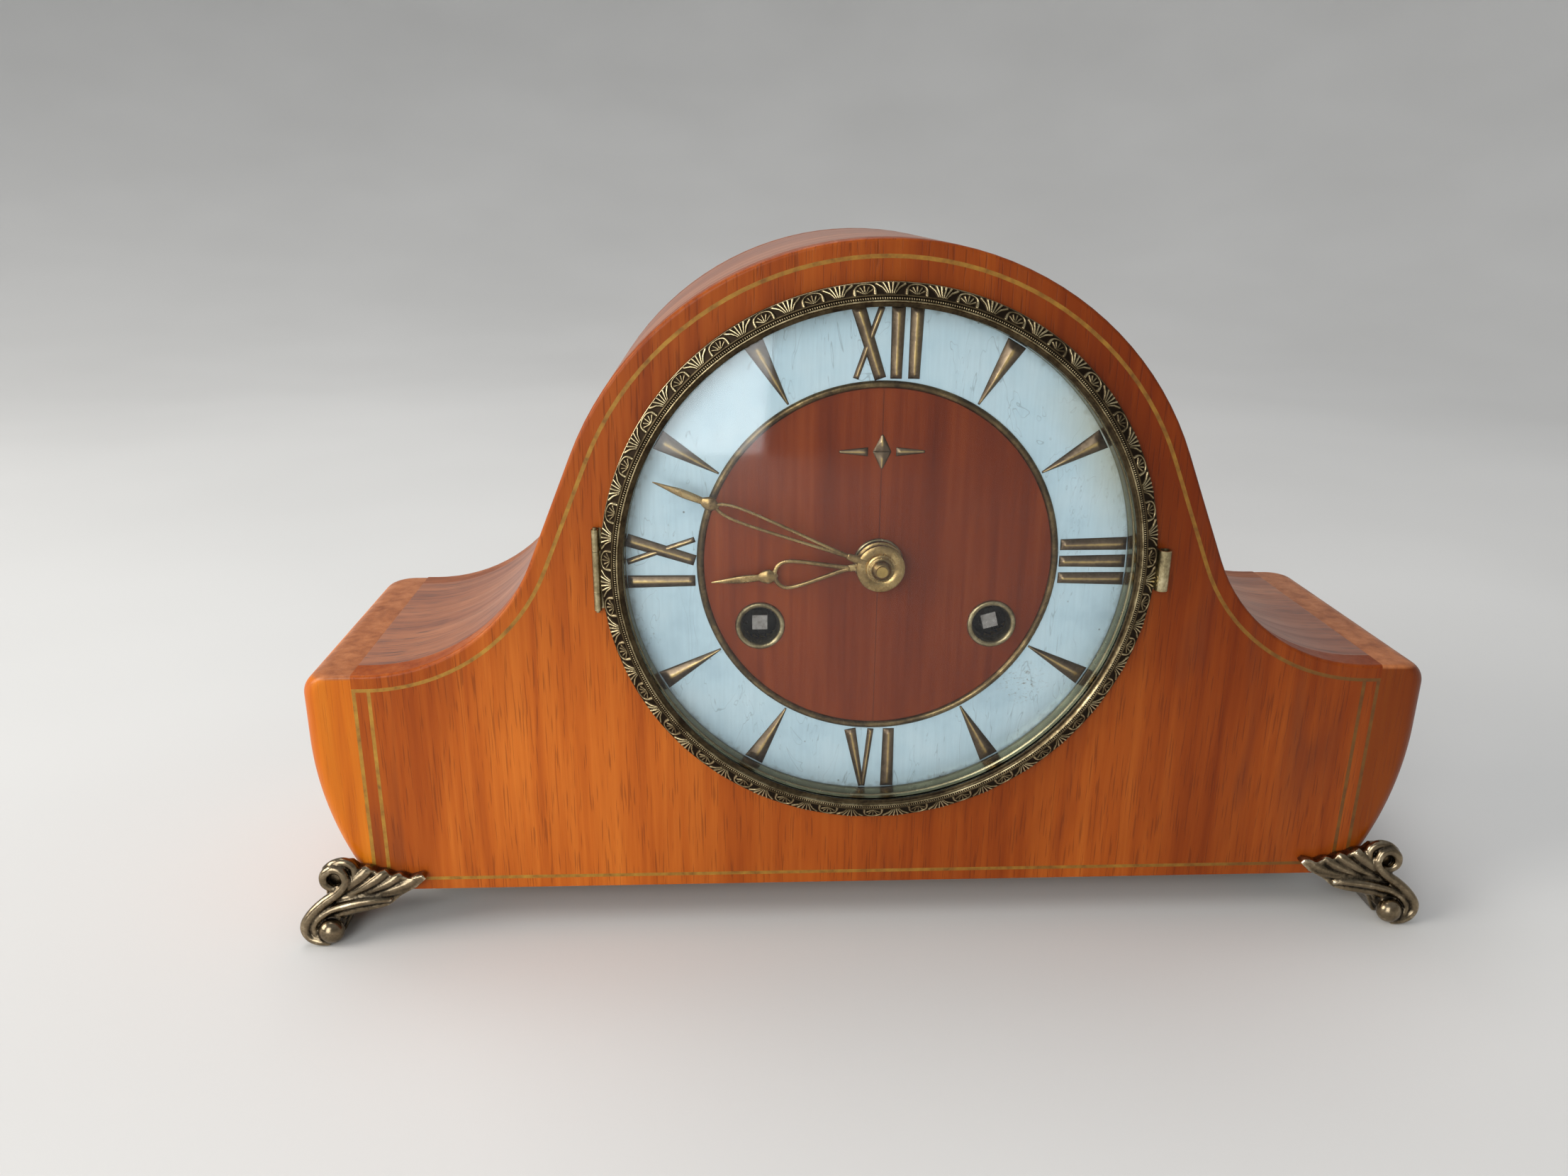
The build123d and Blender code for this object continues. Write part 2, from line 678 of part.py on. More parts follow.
with BuildPart() as bezel_ring:
    revolve(
        ring_of(
            [
                (BEZEL_R, BEZEL_BACK_H),
                (BEZEL_R, 2.5),
                (BEZEL_R - 0.2, 2.9),
                (72.5, 4.2),
                (72.2, 4.1),
                (71.6, CREST_H - 0.1),
                (71.2, 4.5),
                (71.0, CREST_H),
                (70.6, 4.4),
                (70.5, 4.1),
                (69.5, 4.0),
                (69.5, LIP_H),
                (71.0, LIP_H),
                (71.0, 1.5),
                (73.5, BEZEL_BACK_H),
            ]
        ),
        axis=DIAL_AXIS,
    )
save(bezel_ring, "bezel_ring")

GLASS_BACK_H = LIP_H - 0.4 - GLASS_T
GLASS_R = (GLASS_EDGE**2 + GLASS_RISE**2) / (2 * GLASS_RISE)
GLASS_ARC = degrees(asin(GLASS_EDGE / GLASS_R))

with BuildPart() as glass:
    with BuildSketch(section_plane()):
        with BuildLine():
            back = CenterArc((0, GLASS_BACK_H + GLASS_RISE - GLASS_R), GLASS_R, 90 - GLASS_ARC, GLASS_ARC)
            face = CenterArc(
                (0, GLASS_BACK_H + GLASS_T + GLASS_RISE - GLASS_R), GLASS_R, 90 - GLASS_ARC, GLASS_ARC
            )
            Line(back @ 0, face @ 0)
            Line(back @ 1, face @ 1)
        make_face()
    revolve(axis=DIAL_AXIS)
save(glass, "glass")

with BuildPart() as sight_ring:
    revolve(
        ring_of(
            [
                (GLASS_EDGE + 0.1, GLASS_BACK_H - 0.1),
                (70.1, GLASS_BACK_H - 0.1),
                (69.9, 0.5),
                (69.5, 0.2),
                (69.3, -2.4),
                (69.2, -2.6),
                (69.2, -3.4),
                (69.7, -3.4),
                (70.2, -0.2),
                (70.25, FLANGE_T + 0.2),
                (GLASS_EDGE + 0.1, FLANGE_T + 0.2),
            ]
        ),
        axis=DIAL_AXIS,
    )
save(sight_ring, "sight_ring")

HINGE_LOW = -11.2           # hinge ends, from the dial centre
HINGE_HIGH = 11.5
KNUCKLE_LOW = -6.2
KNUCKLE_HIGH = 5.4
LEAF_T = 0.5
hinge_front_y = FRONT - HINGE_H


def leaf_plate(low, high, inner_x, near_h, far_h):
    """Flat hinge leaf from the hinge axis toward the bezel."""
    with BuildSketch(facing(-near_h)) as plate:
        with Locations((HINGE_X, DIAL_Z + low)):
            Rectangle(inner_x - HINGE_X, high - low, align=(Align.MIN, Align.MIN))
    return extrude(plate.sketch, amount=far_h - near_h, dir=(0, -1, 0), mode=Mode.PRIVATE)


with BuildPart() as bezel_hinge:
    for low, high in ((HINGE_LOW, KNUCKLE_LOW - 0.1), (KNUCKLE_HIGH + 0.1, HINGE_HIGH)):
        add(leaf_plate(low, high, -75.2, 0.0, LEAF_T))
        add(hinge_barrel(HINGE_X, hinge_front_y, DIAL_Z + low, DIAL_Z + high, KNUCKLE_R, PIN_R))
        with BuildSketch(facing(0)):
            with Locations((HINGE_X, DIAL_Z + low)):
                Rectangle(LEAF_T + 0.3, high - low, align=(Align.CENTER, Align.MIN))
        extrude(amount=HINGE_H - PIN_R)
    with BuildSketch(Plane(origin=(HINGE_X, hinge_front_y, DIAL_Z + HINGE_LOW - 0.6))):
        Circle(PIN_R)
    extrude(amount=HINGE_HIGH - HINGE_LOW + 1.2)
save(bezel_hinge, "bezel_hinge")

with BuildPart() as bezel_knuckle:
    add(leaf_plate(KNUCKLE_LOW, KNUCKLE_HIGH, -75.0, HINGE_H - KNUCKLE_R - 0.1, HINGE_H - KNUCKLE_R + LEAF_T))
    with BuildSketch(Plane(origin=(HINGE_X, hinge_front_y, DIAL_Z + KNUCKLE_LOW))):
        Circle(KNUCKLE_R)
    extrude(amount=KNUCKLE_HIGH - KNUCKLE_LOW)
    with BuildSketch(Plane(origin=(HINGE_X, hinge_front_y, DIAL_Z + KNUCKLE_LOW))):
        Circle(PIN_R + RUN)
    extrude(amount=KNUCKLE_HIGH - KNUCKLE_LOW, mode=Mode.SUBTRACT)
    with BuildSketch(dial_plane(5)):
        Circle(BEZEL_R)
    extrude(amount=20.0, mode=Mode.SUBTRACT)
save(bezel_knuckle, "bezel_knuckle")

TAB_X = 77.6                # rolled edge of the catch tab
TAB_R = 1.85
TAB_H = 2.5
TAB_LEAF_H = 1.0
TAB_LOW = -6.5
TAB_LONG = 11.5

with BuildPart() as bezel_tab:
    with BuildSketch(Plane(origin=(TAB_X, FRONT - TAB_H, DIAL_Z + TAB_LOW))):
        Circle(TAB_R)
        Circle(TAB_R - 0.6, mode=Mode.SUBTRACT)
    extrude(amount=TAB_LONG)
    with BuildSketch(facing(-TAB_LEAF_H)):
        with Locations((TAB_X, DIAL_Z + TAB_LOW)):
            Rectangle(5.0, TAB_LONG, align=(Align.MAX, Align.MIN))
    extrude(amount=LEAF_T)
    with BuildSketch(dial_plane(5)):
        Circle(BEZEL_R)
    extrude(amount=20.0, mode=Mode.SUBTRACT)
save(bezel_tab, "bezel_tab")

# ---------------------------------------------------------------- hands and motion work

CANNON_R = 2.5
ARBOR_R = 1.5
PIPE_R = 3.4


def hand_face(length, bar_from, loop_from, loop_to, loop_w, wire, boss_at, boss_r, bore, clock_angle):
    """Pierced hand: hub disc, bar, open loop, round boss and slender tip, turned to its clock angle."""
    middle = (loop_from + loop_to) / 2
    half = (loop_to - loop_from) / 2
    with BuildSketch() as hand:
        Circle(HUB_R)
        with Locations(((bar_from + loop_from) / 2, 0)):
            Rectangle(loop_from - bar_from + 2, 2.0)
        with Locations((middle, 0)):
            Ellipse(half, loop_w / 2)
            Ellipse(half - 1.5 * wire, loop_w / 2 - wire, mode=Mode.SUBTRACT)
        with Locations((boss_at, 0)):
            Circle(boss_r)
        with Locations(((loop_to + boss_at) / 2, 0)):
            Rectangle(boss_at - loop_to + 1, 1.4)
        Polygon((boss_at, -1.3), (length, -0.15), (length, 0.15), (boss_at, 1.3), align=None)
        Circle(bore, mode=Mode.SUBTRACT)
    return Rot(0, 0, 90 - clock_angle) * hand.sketch


minute_hand = stack(
    (0, 0),
    [
        (
            hand_face(66.0, 4, 15.5, 47.6, 4.2, 0.9, 49.6, 2.0, CANNON_R, MINUTE_ANGLE),
            -MINUTE_H - HAND_T,
            -MINUTE_H,
        )
    ],
)
save(minute_hand, "minute_hand")

hour_hand = stack(
    (0, 0),
    [(hand_face(46.6, 4, 10.0, 28.6, 8.5, 1.3, 30.6, 2.3, PIPE_R, HOUR_ANGLE), -HOUR_H - HAND_T, -HOUR_H)],
)
save(hour_hand, "hour_hand")

MOTION_MODULE = 0.5
HOUR_MODULE = 0.48
CANNON_TEETH = 12
MINUTE_TEETH = 36
MINUTE_PINION = 10
HOUR_TEETH = 40
to_stud = bearing((0, 0), STUD_AT)
from_stud = bearing(STUD_AT, (0, 0))

with BuildPart() as cannon_pinion:
    add(
        stack(
            (0, 0),
            [
                (
                    gear_face(CANNON_TEETH, MOTION_MODULE, tooth_phase(CANNON_TEETH, to_stud, gap=True)),
                    11.4,
                    13.6,
                ),
                (disc_face(CANNON_R), -MINUTE_H - HAND_T, 13.6),
            ],
        ).part
    )
    with BuildSketch(dial_plane(15)):
        Circle(ARBOR_R + RUN)
    extrude(amount=30.0, mode=Mode.SUBTRACT)
save(cannon_pinion, "cannon_pinion")

with BuildPart() as minute_wheel:
    add(
        stack(
            STUD_AT,
            [
                (
                    crossed_wheel(MINUTE_TEETH, MOTION_MODULE, tooth_phase(MINUTE_TEETH, from_stud), 2.6, 4),
                    11.8,
                    12.8,
                ),
                (
                    gear_face(MINUTE_PINION, HOUR_MODULE, tooth_phase(MINUTE_PINION, from_stud, gap=True)),
                    8.0,
                    11.8,
                ),
            ],
        ).part
    )
    with BuildSketch(dial_plane(15, STUD_AT)):
        Circle(1.0 + RUN)
    extrude(amount=10.0, mode=Mode.SUBTRACT)
save(minute_wheel, "minute_wheel")

with BuildPart() as hour_wheel:
    add(
        stack(
            (0, 0),
            [
                (
                    crossed_wheel(HOUR_TEETH, HOUR_MODULE, tooth_phase(HOUR_TEETH, to_stud), 4.4, 4),
                    8.6,
                    9.6,
                ),
                (disc_face(PIPE_R), -HOUR_H - HAND_T, 9.6),
            ],
        ).part
    )
    with BuildSketch(dial_plane(15)):
        Circle(CANNON_R + RUN)
    extrude(amount=30.0, mode=Mode.SUBTRACT)
save(hour_wheel, "hour_wheel")

with BuildPart() as hand_nut:
    nut_back = MINUTE_H + HAND_T
    with BuildSketch(section_plane()):
        with BuildLine():
            Polyline(
                (ARBOR_R + RUN, nut_back),
                (NUT_R, nut_back),
                (NUT_R, nut_back + 0.8),
                (NUT_R - 0.6, nut_back + 1.0),
            )
            ThreePointArc((NUT_R - 0.6, nut_back + 1.0), (2.7, 4.4), (ARBOR_R + RUN, NUT_TOP_H))
            Line((ARBOR_R + RUN, NUT_TOP_H), (ARBOR_R + RUN, nut_back))
        make_face()
    revolve(axis=DIAL_AXIS)
save(hand_nut, "hand_nut")

# ---------------------------------------------------------------- movement frame

PILLAR_PLACES = ((-52.0, -43.0), (52.0, -43.0), (-34.0, 50.0), (34.0, 50.0))
CLICK_OFFSET = (10.4, 8.4)  # click stud from its winding arbor, toward the middle
RATCHET_R = 7.0
ARBOR_WIND_R = 3.0
CLICK_STUDS = [(side * (WIND_X - CLICK_OFFSET[0]), WIND_Z + CLICK_OFFSET[1]) for side in (-1, 1)]
PIVOTS = (
    INTERMEDIATE_AT,
    THIRD_AT,
    ESCAPE_AT,
    PALLET_AT,
    PIN_WHEEL_AT,
    WARNING_AT,
    FLY_AT,
)


def plate_face(ears):
    """Movement plate, tapering to the top, with its holes and optional mounting ears."""
    with BuildSketch() as plate:
        Polygon((-58, -50), (58, -50), (58, 12), (41, 56), (-41, 56), (-58, 12), align=None)
        fillet(plate.vertices(), 4)
        if ears:
            for angle in MOUNT_ANGLES:
                with Locations(Location((0, 0), angle)):
                    with Locations((MOUNT_R - 24, 0)):
                        Rectangle(28.0, 9.0, align=(Align.MIN, Align.CENTER))
            with PolarLocations(MOUNT_R, len(MOUNT_ANGLES), start_angle=MOUNT_ANGLES[0]):
                Circle(SCREW_R, mode=Mode.SUBTRACT)
        with Locations(*PIVOTS):
            Circle(PIVOT_R + RUN, mode=Mode.SUBTRACT)
        with Locations((0, 0)):
            Circle(ARBOR_R + RUN, mode=Mode.SUBTRACT)
        with Locations(BARREL_AT, STRIKE_BARREL_AT):
            Circle(ARBOR_WIND_R + RUN, mode=Mode.SUBTRACT)
        with Locations(HAMMER_AT):
            Circle(TRAIN_R + RUN, mode=Mode.SUBTRACT)
        with Locations(*PILLAR_PLACES):
            Circle(2.0, mode=Mode.SUBTRACT)
    return plate.sketch


with BuildPart() as front_plate:
    extrude(dial_plane(INSIDE) * plate_face(True), amount=PLATE_T, dir=(0, -1, 0))
    with BuildSketch(dial_plane(PLATE_FRONT)):
        with Locations(STUD_AT):
            Circle(1.0)
    extrude(amount=6.2)
    with BuildSketch(dial_plane(PLATE_FRONT)):
        with Locations(*CLICK_STUDS):
            Circle(1.0)
    extrude(amount=2.6)
    with BuildSketch(dial_plane(PLATE_FRONT)):
        with PolarLocations(MOUNT_R, len(MOUNT_ANGLES), start_angle=MOUNT_ANGLES[0]):
            Circle(3.5)
            Circle(SCREW_R, mode=Mode.SUBTRACT)
    extrude(amount=PLATE_FRONT - FRONT_T)
save(front_plate, "front_plate")

with BuildPart() as back_plate:
    extrude(dial_plane(PLATE_BACK + PLATE_T) * plate_face(False), amount=PLATE_T, dir=(0, -1, 0))
save(back_plate, "back_plate")

with BuildPart() as plate_pillars:
    for place in PILLAR_PLACES:
        add(
            stack(
                place,
                [
                    (disc_face(3.2), INSIDE, PLATE_BACK),
                    (disc_face(2.0), PLATE_FRONT - 1.5, PLATE_BACK + PLATE_T + 3.0),
                ],
            ).part
        )
save(plate_pillars, "plate_pillars")

with BuildPart() as pillar_nuts:
    with BuildSketch(dial_plane(PLATE_BACK + PLATE_T + 2.4)):
        with Locations(*PILLAR_PLACES):
            RegularPolygon(3.6, 6)
            Circle(2.0, mode=Mode.SUBTRACT)
    extrude(amount=2.4)
save(pillar_nuts, "pillar_nuts")

# Wood screws: four up through the feet into the base board, four through the plate ears into the front panel
with BuildPart() as wood_screws:
    with BuildSketch(Plane.XY.offset(FOOT_LIFT - 2.5)):
        with GridLocations(2 * FOOT_SCREW_X, CASE_DEPTH - 2 * FOOT_SCREW_DEPTH, 2, 2):
            Circle(SCREW_R)
    extrude(amount=10.0)
    with BuildSketch(Plane.XY.offset(FOOT_LIFT - 2.5)):
        with GridLocations(2 * FOOT_SCREW_X, CASE_DEPTH - 2 * FOOT_SCREW_DEPTH, 2, 2):
            Circle(SCREW_HEAD_R)
    extrude(amount=-1.5, taper=20)
    with BuildSketch(dial_plane(INSIDE + 1.5)):
        with PolarLocations(MOUNT_R, len(MOUNT_ANGLES), start_angle=MOUNT_ANGLES[0]):
            Circle(SCREW_HEAD_R)
    extrude(amount=1.5)
    with BuildSketch(dial_plane(INSIDE + 0.5)):
        with PolarLocations(MOUNT_R, len(MOUNT_ANGLES), start_angle=MOUNT_ANGLES[0]):
            Circle(SCREW_R)
    extrude(amount=INSIDE + 0.5 - 2.4)
save(wood_screws, "wood_screws")

# ---------------------------------------------------------------- time train

BARREL_R = 16.8
SQUARE = 4.25               # winding square across the flats
SQUARE_TURN = 15.0          # the time side's square stands turned by this much


def barrel(at, mesh_at):
    """Great wheel with its mainspring drum, open only at the arbor bore."""
    phase = tooth_phase(GREAT_TEETH, bearing(at, mesh_at))
    with BuildPart() as drum:
        add(
            stack(
                at,
                [
                    (gear_face(GREAT_TEETH, GREAT_MODULE, phase), 22.5, 24.5),
                    (disc_face(BARREL_R), 24.5, 44.0),
                ],
            ).part
        )
        with BuildSketch(dial_plane(43.0, at)):
            Circle(BARREL_R - 1.0)
        extrude(amount=17.0, mode=Mode.SUBTRACT)
        with BuildSketch(dial_plane(50.0, at)):
            Circle(ARBOR_WIND_R + RUN)
        extrude(amount=30.0, mode=Mode.SUBTRACT)
    return drum


def mainspring(at):
    """Wound spring as one coiled strip between the arbor and the drum wall."""
    turns = 7
    strip = 0.9
    inner = ARBOR_WIND_R + 1.2
    pitch = (BARREL_R - 1.6 - strip - inner) / turns
    steps = 24
    with BuildPart() as coil:
        with BuildSketch(dial_plane(42.5, at)):
            with BuildLine():
                way = [
                    (
                        (inner + pitch * step / steps) * cos(2 * pi * step / steps),
                        (inner + pitch * step / steps) * sin(2 * pi * step / steps),
                    )
                    for step in range(turns * steps + 1)
                ]
                outer = [
                    (x * (1 + strip / hypot(x, y)), y * (1 + strip / hypot(x, y))) for x, y in reversed(way)
                ]
                Polyline(*way, *outer, close=True)
            make_face()
        extrude(amount=16.0)
    return coil


def winding_arbor(at, turn):
    """Winding arbor with its square for the key and its ratchet wheel."""
    teeth = 20
    corners = []
    for tooth in range(teeth):
        start = 2 * pi * tooth / teeth
        corners.append((RATCHET_R * cos(start), RATCHET_R * sin(start)))
        corners.append(((RATCHET_R - 1.1) * cos(start), (RATCHET_R - 1.1) * sin(start)))
    with BuildSketch() as ratchet:
        Polygon(*corners, align=None)
    with BuildSketch() as square:
        Rectangle(SQUARE, SQUARE, rotation=turn)
    return stack(
        at,
        [
            (square.sketch, 6.4, 12.2),
            (ratchet.sketch, 12.2, 13.4),
            (disc_face(ARBOR_WIND_R), 13.4, PLATE_BACK + PLATE_T + 0.5),
        ],
    )


def click(side):
    """Pawl on its stud, its nose just clear of the ratchet."""
    stud = CLICK_STUDS[(side + 1) // 2]
    toward = bearing(stud, (side * WIND_X, WIND_Z))
    reach = hypot(*CLICK_OFFSET) - RATCHET_R - 0.5
    with BuildSketch() as pawl:
        Circle(2.2)
        Polygon((0, -1.2), (reach, -0.5), (reach, 0.5), (0, 1.2), rotation=toward, align=None)
        Circle(1.0 + RUN, mode=Mode.SUBTRACT)
    return stack(stud, [(pawl.sketch, 12.2, 13.4)])


for word, at, mesh_at, turn, side in (
    ("time", BARREL_AT, INTERMEDIATE_AT, SQUARE_TURN, 1),
    ("strike", STRIKE_BARREL_AT, PIN_WHEEL_AT, 0.0, -1),
):
    save(barrel(at, mesh_at), f"{word}_barrel")
    save(mainspring(at), f"{word}_mainspring")
    save(winding_arbor(at, turn), f"{word}_arbor")
    save(click(side), f"{word}_click")

intermediate_wheel = train_arbor(
    INTERMEDIATE_AT,
    [
        (
            gear_face(
                PINION_TEETH,
                GREAT_MODULE,
                tooth_phase(PINION_TEETH, bearing(INTERMEDIATE_AT, BARREL_AT), gap=True),
            ),
            21.5,
            25.5,
        ),
        (going_wheel(INTERMEDIATE_TEETH, INTERMEDIATE_MODULE, INTERMEDIATE_AT, (0, 0), 3.6, 4), 18.0, 19.5),
        (disc_face(2.4), 19.5, 21.5),
    ],
)
save(intermediate_wheel, "intermediate_wheel")

centre_wheel = stack(
    (0, 0),
    [
        (disc_face(ARBOR_R), -ARBOR_TIP_H, PLATE_BACK + PLATE_T),
        (disc_face(2.4), 20.3, 30.6),
        (
            gear_face(
                CENTRE_PINION,
                INTERMEDIATE_MODULE,
                tooth_phase(CENTRE_PINION, bearing((0, 0), INTERMEDIATE_AT), gap=True),
            ),
            17.0,
            20.3,
        ),
        (going_wheel(CENTRE_TEETH, CENTRE_MODULE, (0, 0), THIRD_AT, 4.4, 5), 28.0, 29.5),
    ],
)
save(centre_wheel, "centre_wheel")

third_wheel = train_arbor(
    THIRD_AT,
    [
        (leaf_pinion(CENTRE_MODULE, THIRD_AT, (0, 0)), 26.5, 31.0),
        (going_wheel(THIRD_TEETH, THIRD_MODULE, THIRD_AT, ESCAPE_AT, 3.4, 5), 34.0, 35.2),
    ],
    radius=1.0,
)
save(third_wheel, "third_wheel")

ESCAPE_R = 9.5
ESCAPE_TEETH = 38
escape_corners = []
for tooth in range(ESCAPE_TEETH):
    start = 2 * pi * tooth / ESCAPE_TEETH
    escape_corners.append((ESCAPE_R * cos(start), ESCAPE_R * sin(start)))
    lag = start + 1.2 * pi / ESCAPE_TEETH
    escape_corners.append(((ESCAPE_R - 1.3) * cos(lag), (ESCAPE_R - 1.3) * sin(lag)))
with BuildSketch() as escape_face:
    Polygon(*escape_corners, align=None)
    with PolarLocations(5.2, 5):
        Circle(1.7, mode=Mode.SUBTRACT)

escape_wheel = train_arbor(
    ESCAPE_AT,
    [
        (leaf_pinion(THIRD_MODULE, ESCAPE_AT, THIRD_AT), 32.5, 37.0),
        (escape_face.sketch, 40.0, 40.8),
    ],
    radius=0.9,
)
save(escape_wheel, "escape_wheel")

PALLET_DROP = 6.6           # pallet faces below their arbor
PALLET_HALF = 9.2
CRUTCH_DROP = 26.0
ROD_R = 0.9

with BuildPart() as pallets:
    with BuildSketch(dial_plane(41.4, PALLET_AT)):
        Circle(2.1)
        Polygon((-10.6, -3.4), (-9.2, -2.2), (0, 1.4), (9.2, -2.2), (10.6, -3.4), (0, -0.4), align=None)
        for hand in (-1, 1):
            Polygon(
                (hand * 10.6, -3.4),
                (hand * 9.3, -2.8),
                (hand * PALLET_HALF, -PALLET_DROP),
                (hand * (PALLET_HALF + 0.9), -PALLET_DROP - 0.4),
                align=None,
            )
    extrude(amount=1.8)
    add(
        stack(
            PALLET_AT,
            [
                (disc_face(PIVOT_R), PLATE_FRONT, 52.6),
                (disc_face(1.1), INSIDE + 0.3, PLATE_BACK - 0.3),
                (disc_face(1.9), 50.0, 51.2),
            ],
        ).part
    )
    with BuildSketch(dial_plane(51.2, PALLET_AT)):
        Rectangle(1.6, CRUTCH_DROP, align=(Align.CENTER, Align.MAX))
        with Locations((0, -CRUTCH_DROP)):
            Rectangle(5.0, 1.8)
    extrude(amount=1.2)
    with BuildSketch(dial_plane(58.0, PALLET_AT)):
        for hand in (-1, 1):
            with Locations((hand * 1.85, -CRUTCH_DROP)):
                Rectangle(1.3, 1.8)
    extrude(amount=7.0)
save(pallets, "pallets")

# ---------------------------------------------------------------- pendulum

PIN_COCK_R = 0.8
EYE_R = 2.0
BOB_R = 14.0
BOB_T = 6.0

with BuildPart() as suspension_cock:
    with BuildSketch(dial_plane(59.4, PALLET_AT)):
        with Locations((0, 3.4)):
            Rectangle(11.0, 4.4, align=(Align.CENTER, Align.MIN))
    extrude(amount=59.4 - PLATE_BACK - PLATE_T)
    for near in (53.0, 58.2):
        with BuildSketch(dial_plane(near + 1.2, PALLET_AT)):
            with Locations((0, -1.6)):
                Rectangle(4.0, 6.0, align=(Align.CENTER, Align.MIN))
        extrude(amount=1.2)
    with BuildSketch(dial_plane(59.4, PALLET_AT)):
        Circle(PIN_COCK_R)
    extrude(amount=6.4)
save(suspension_cock, "suspension_cock")

with BuildPart() as pendulum_rod:
    with BuildSketch(dial_plane(ROD_DEPTH + 1.2, PALLET_AT)):
        Circle(EYE_R)
        with Locations((0, -EYE_R + 0.3)):
            Rectangle(0.5, 9.0, align=(Align.CENTER, Align.MAX))
        with Locations((0, -9.6)):
            Rectangle(3.0, 3.4, align=(Align.CENTER, Align.MAX))
        Circle(PIN_COCK_R + RUN, mode=Mode.SUBTRACT)
    extrude(amount=2.4)
    with BuildSketch(Plane(origin=(0, FRONT + ROD_DEPTH, DIAL_Z + PENDULUM_Z - 12.5))):
        Circle(ROD_R)
    extrude(amount=-(BOB_DROP + BOB_R + 7.0 - 12.5))
save(pendulum_rod, "pendulum_rod")

with BuildPart() as pendulum_bob:
    with BuildSketch(
        Plane(
            origin=(0, FRONT + ROD_DEPTH, DIAL_Z + PENDULUM_Z - BOB_DROP), x_dir=(1, 0, 0), z_dir=(0, 0, -1)
        )
    ):
        with BuildLine():
            ThreePointArc((0, BOB_T / 2), (0.6 * BOB_R, 0.4 * BOB_T), (BOB_R, 0.5))
            Line((BOB_R, 0.5), (BOB_R, -0.5))
            ThreePointArc((BOB_R, -0.5), (0.6 * BOB_R, -0.4 * BOB_T), (0, -BOB_T / 2))
            Line((0, -BOB_T / 2), (0, BOB_T / 2))
        make_face()
    revolve(axis=Axis((0, FRONT + ROD_DEPTH, DIAL_Z + PENDULUM_Z - BOB_DROP), (0, 1, 0)))
    with BuildSketch(Plane(origin=(0, FRONT + ROD_DEPTH, DIAL_Z + PENDULUM_Z - BOB_DROP - 20))):
        Circle(ROD_R)
    extrude(amount=40.0, mode=Mode.SUBTRACT)
save(pendulum_bob, "pendulum_bob")

with BuildPart() as rating_nut:
    with BuildSketch(Plane(origin=(0, FRONT + ROD_DEPTH, DIAL_Z + PENDULUM_Z - BOB_DROP - BOB_R - 0.2))):
        Circle(3.2)
        with PolarLocations(3.2, 16):
            Circle(0.25, mode=Mode.SUBTRACT)
        Circle(ROD_R, mode=Mode.SUBTRACT)
    extrude(amount=-2.6)
save(rating_nut, "rating_nut")

# ---------------------------------------------------------------- strike train

PIN_CIRCLE = 11.0

pin_wheel = train_arbor(
    PIN_WHEEL_AT,
    [
        (
            gear_face(
                PINION_TEETH,
                GREAT_MODULE,
                tooth_phase(PINION_TEETH, bearing(PIN_WHEEL_AT, STRIKE_BARREL_AT), gap=True),
            ),
            21.5,
            25.5,
        ),
        (disc_face(2.4), 19.5, 21.5),
        (going_wheel(PIN_TEETH, PIN_MODULE, PIN_WHEEL_AT, WARNING_AT, 3.6, 4), 18.0, 19.5),
    ],
)
with BuildPart() as pin_wheel_piece:
    add(pin_wheel.part)
    with BuildSketch(dial_plane(21.5, PIN_WHEEL_AT)):
        with PolarLocations(PIN_CIRCLE + 1.9, 8):
            Circle(0.5)
    extrude(amount=2.5)
save(pin_wheel_piece, "pin_wheel")

warning_wheel = train_arbor(
    WARNING_AT,
    [
        (leaf_pinion(PIN_MODULE, WARNING_AT, PIN_WHEEL_AT), 17.0, 20.5),
        (going_wheel(WARNING_TEETH, WARNING_MODULE, WARNING_AT, FLY_AT, 2.8, 4), 28.0, 29.2),
    ],
    radius=1.0,
)
save(warning_wheel, "warning_wheel")

with BuildSketch() as fly_blade:
    Rectangle(13.6, 0.6)
    Circle(1.6)
fly = train_arbor(
    FLY_AT,
    [
        (leaf_pinion(WARNING_MODULE, FLY_AT, WARNING_AT), 27.0, 30.5),
        (fly_blade.sketch, 35.0, 45.0),
    ],
    radius=1.0,
)
save(fly, "fly")

GONG_DEPTHS = (65.0, 69.0)
GONG_Z = -54.0              # gong rods, below the dial centre
GONG_R = 1.2
HEAD_AT = (-54.0, -44.6)

with BuildPart() as hammer:
    add(
        stack(
            HAMMER_AT,
            [
                (disc_face(TRAIN_R), PLATE_FRONT, 70.0),
                (disc_face(2.4), 66.0, 68.0),
            ],
        ).part
    )
    with BuildSketch(dial_plane(67.8, HAMMER_AT)):
        Rectangle(27.0, 1.8, align=(Align.MAX, Align.CENTER))
    extrude(amount=1.6)
    with BuildSketch(Plane(origin=(HEAD_AT[0], FRONT + 67.0, DIAL_Z + HEAD_AT[1] - 7.4))):
        Circle(3.6)
    extrude(amount=10.0)
save(hammer, "hammer")

GONG_BLOCK_X = -110.0

with BuildPart() as gong_block:
    with BuildSketch(Plane.XY.offset(FOOT_LIFT + BASE_T)):
        with Locations((GONG_BLOCK_X - 8, FRONT + 67.0)):
            Rectangle(16.0, 16.0)
    extrude(amount=44.0)
    chamfer(gong_block.faces().sort_by(Axis.Z)[-1].edges(), 1.5)
    for depth in GONG_DEPTHS:
        with BuildSketch(Plane(origin=(GONG_BLOCK_X, FRONT + depth, DIAL_Z + GONG_Z), z_dir=(1, 0, 0))):
            Circle(GONG_R)
        extrude(amount=-10.0, mode=Mode.SUBTRACT)
save(gong_block, "gong_block")

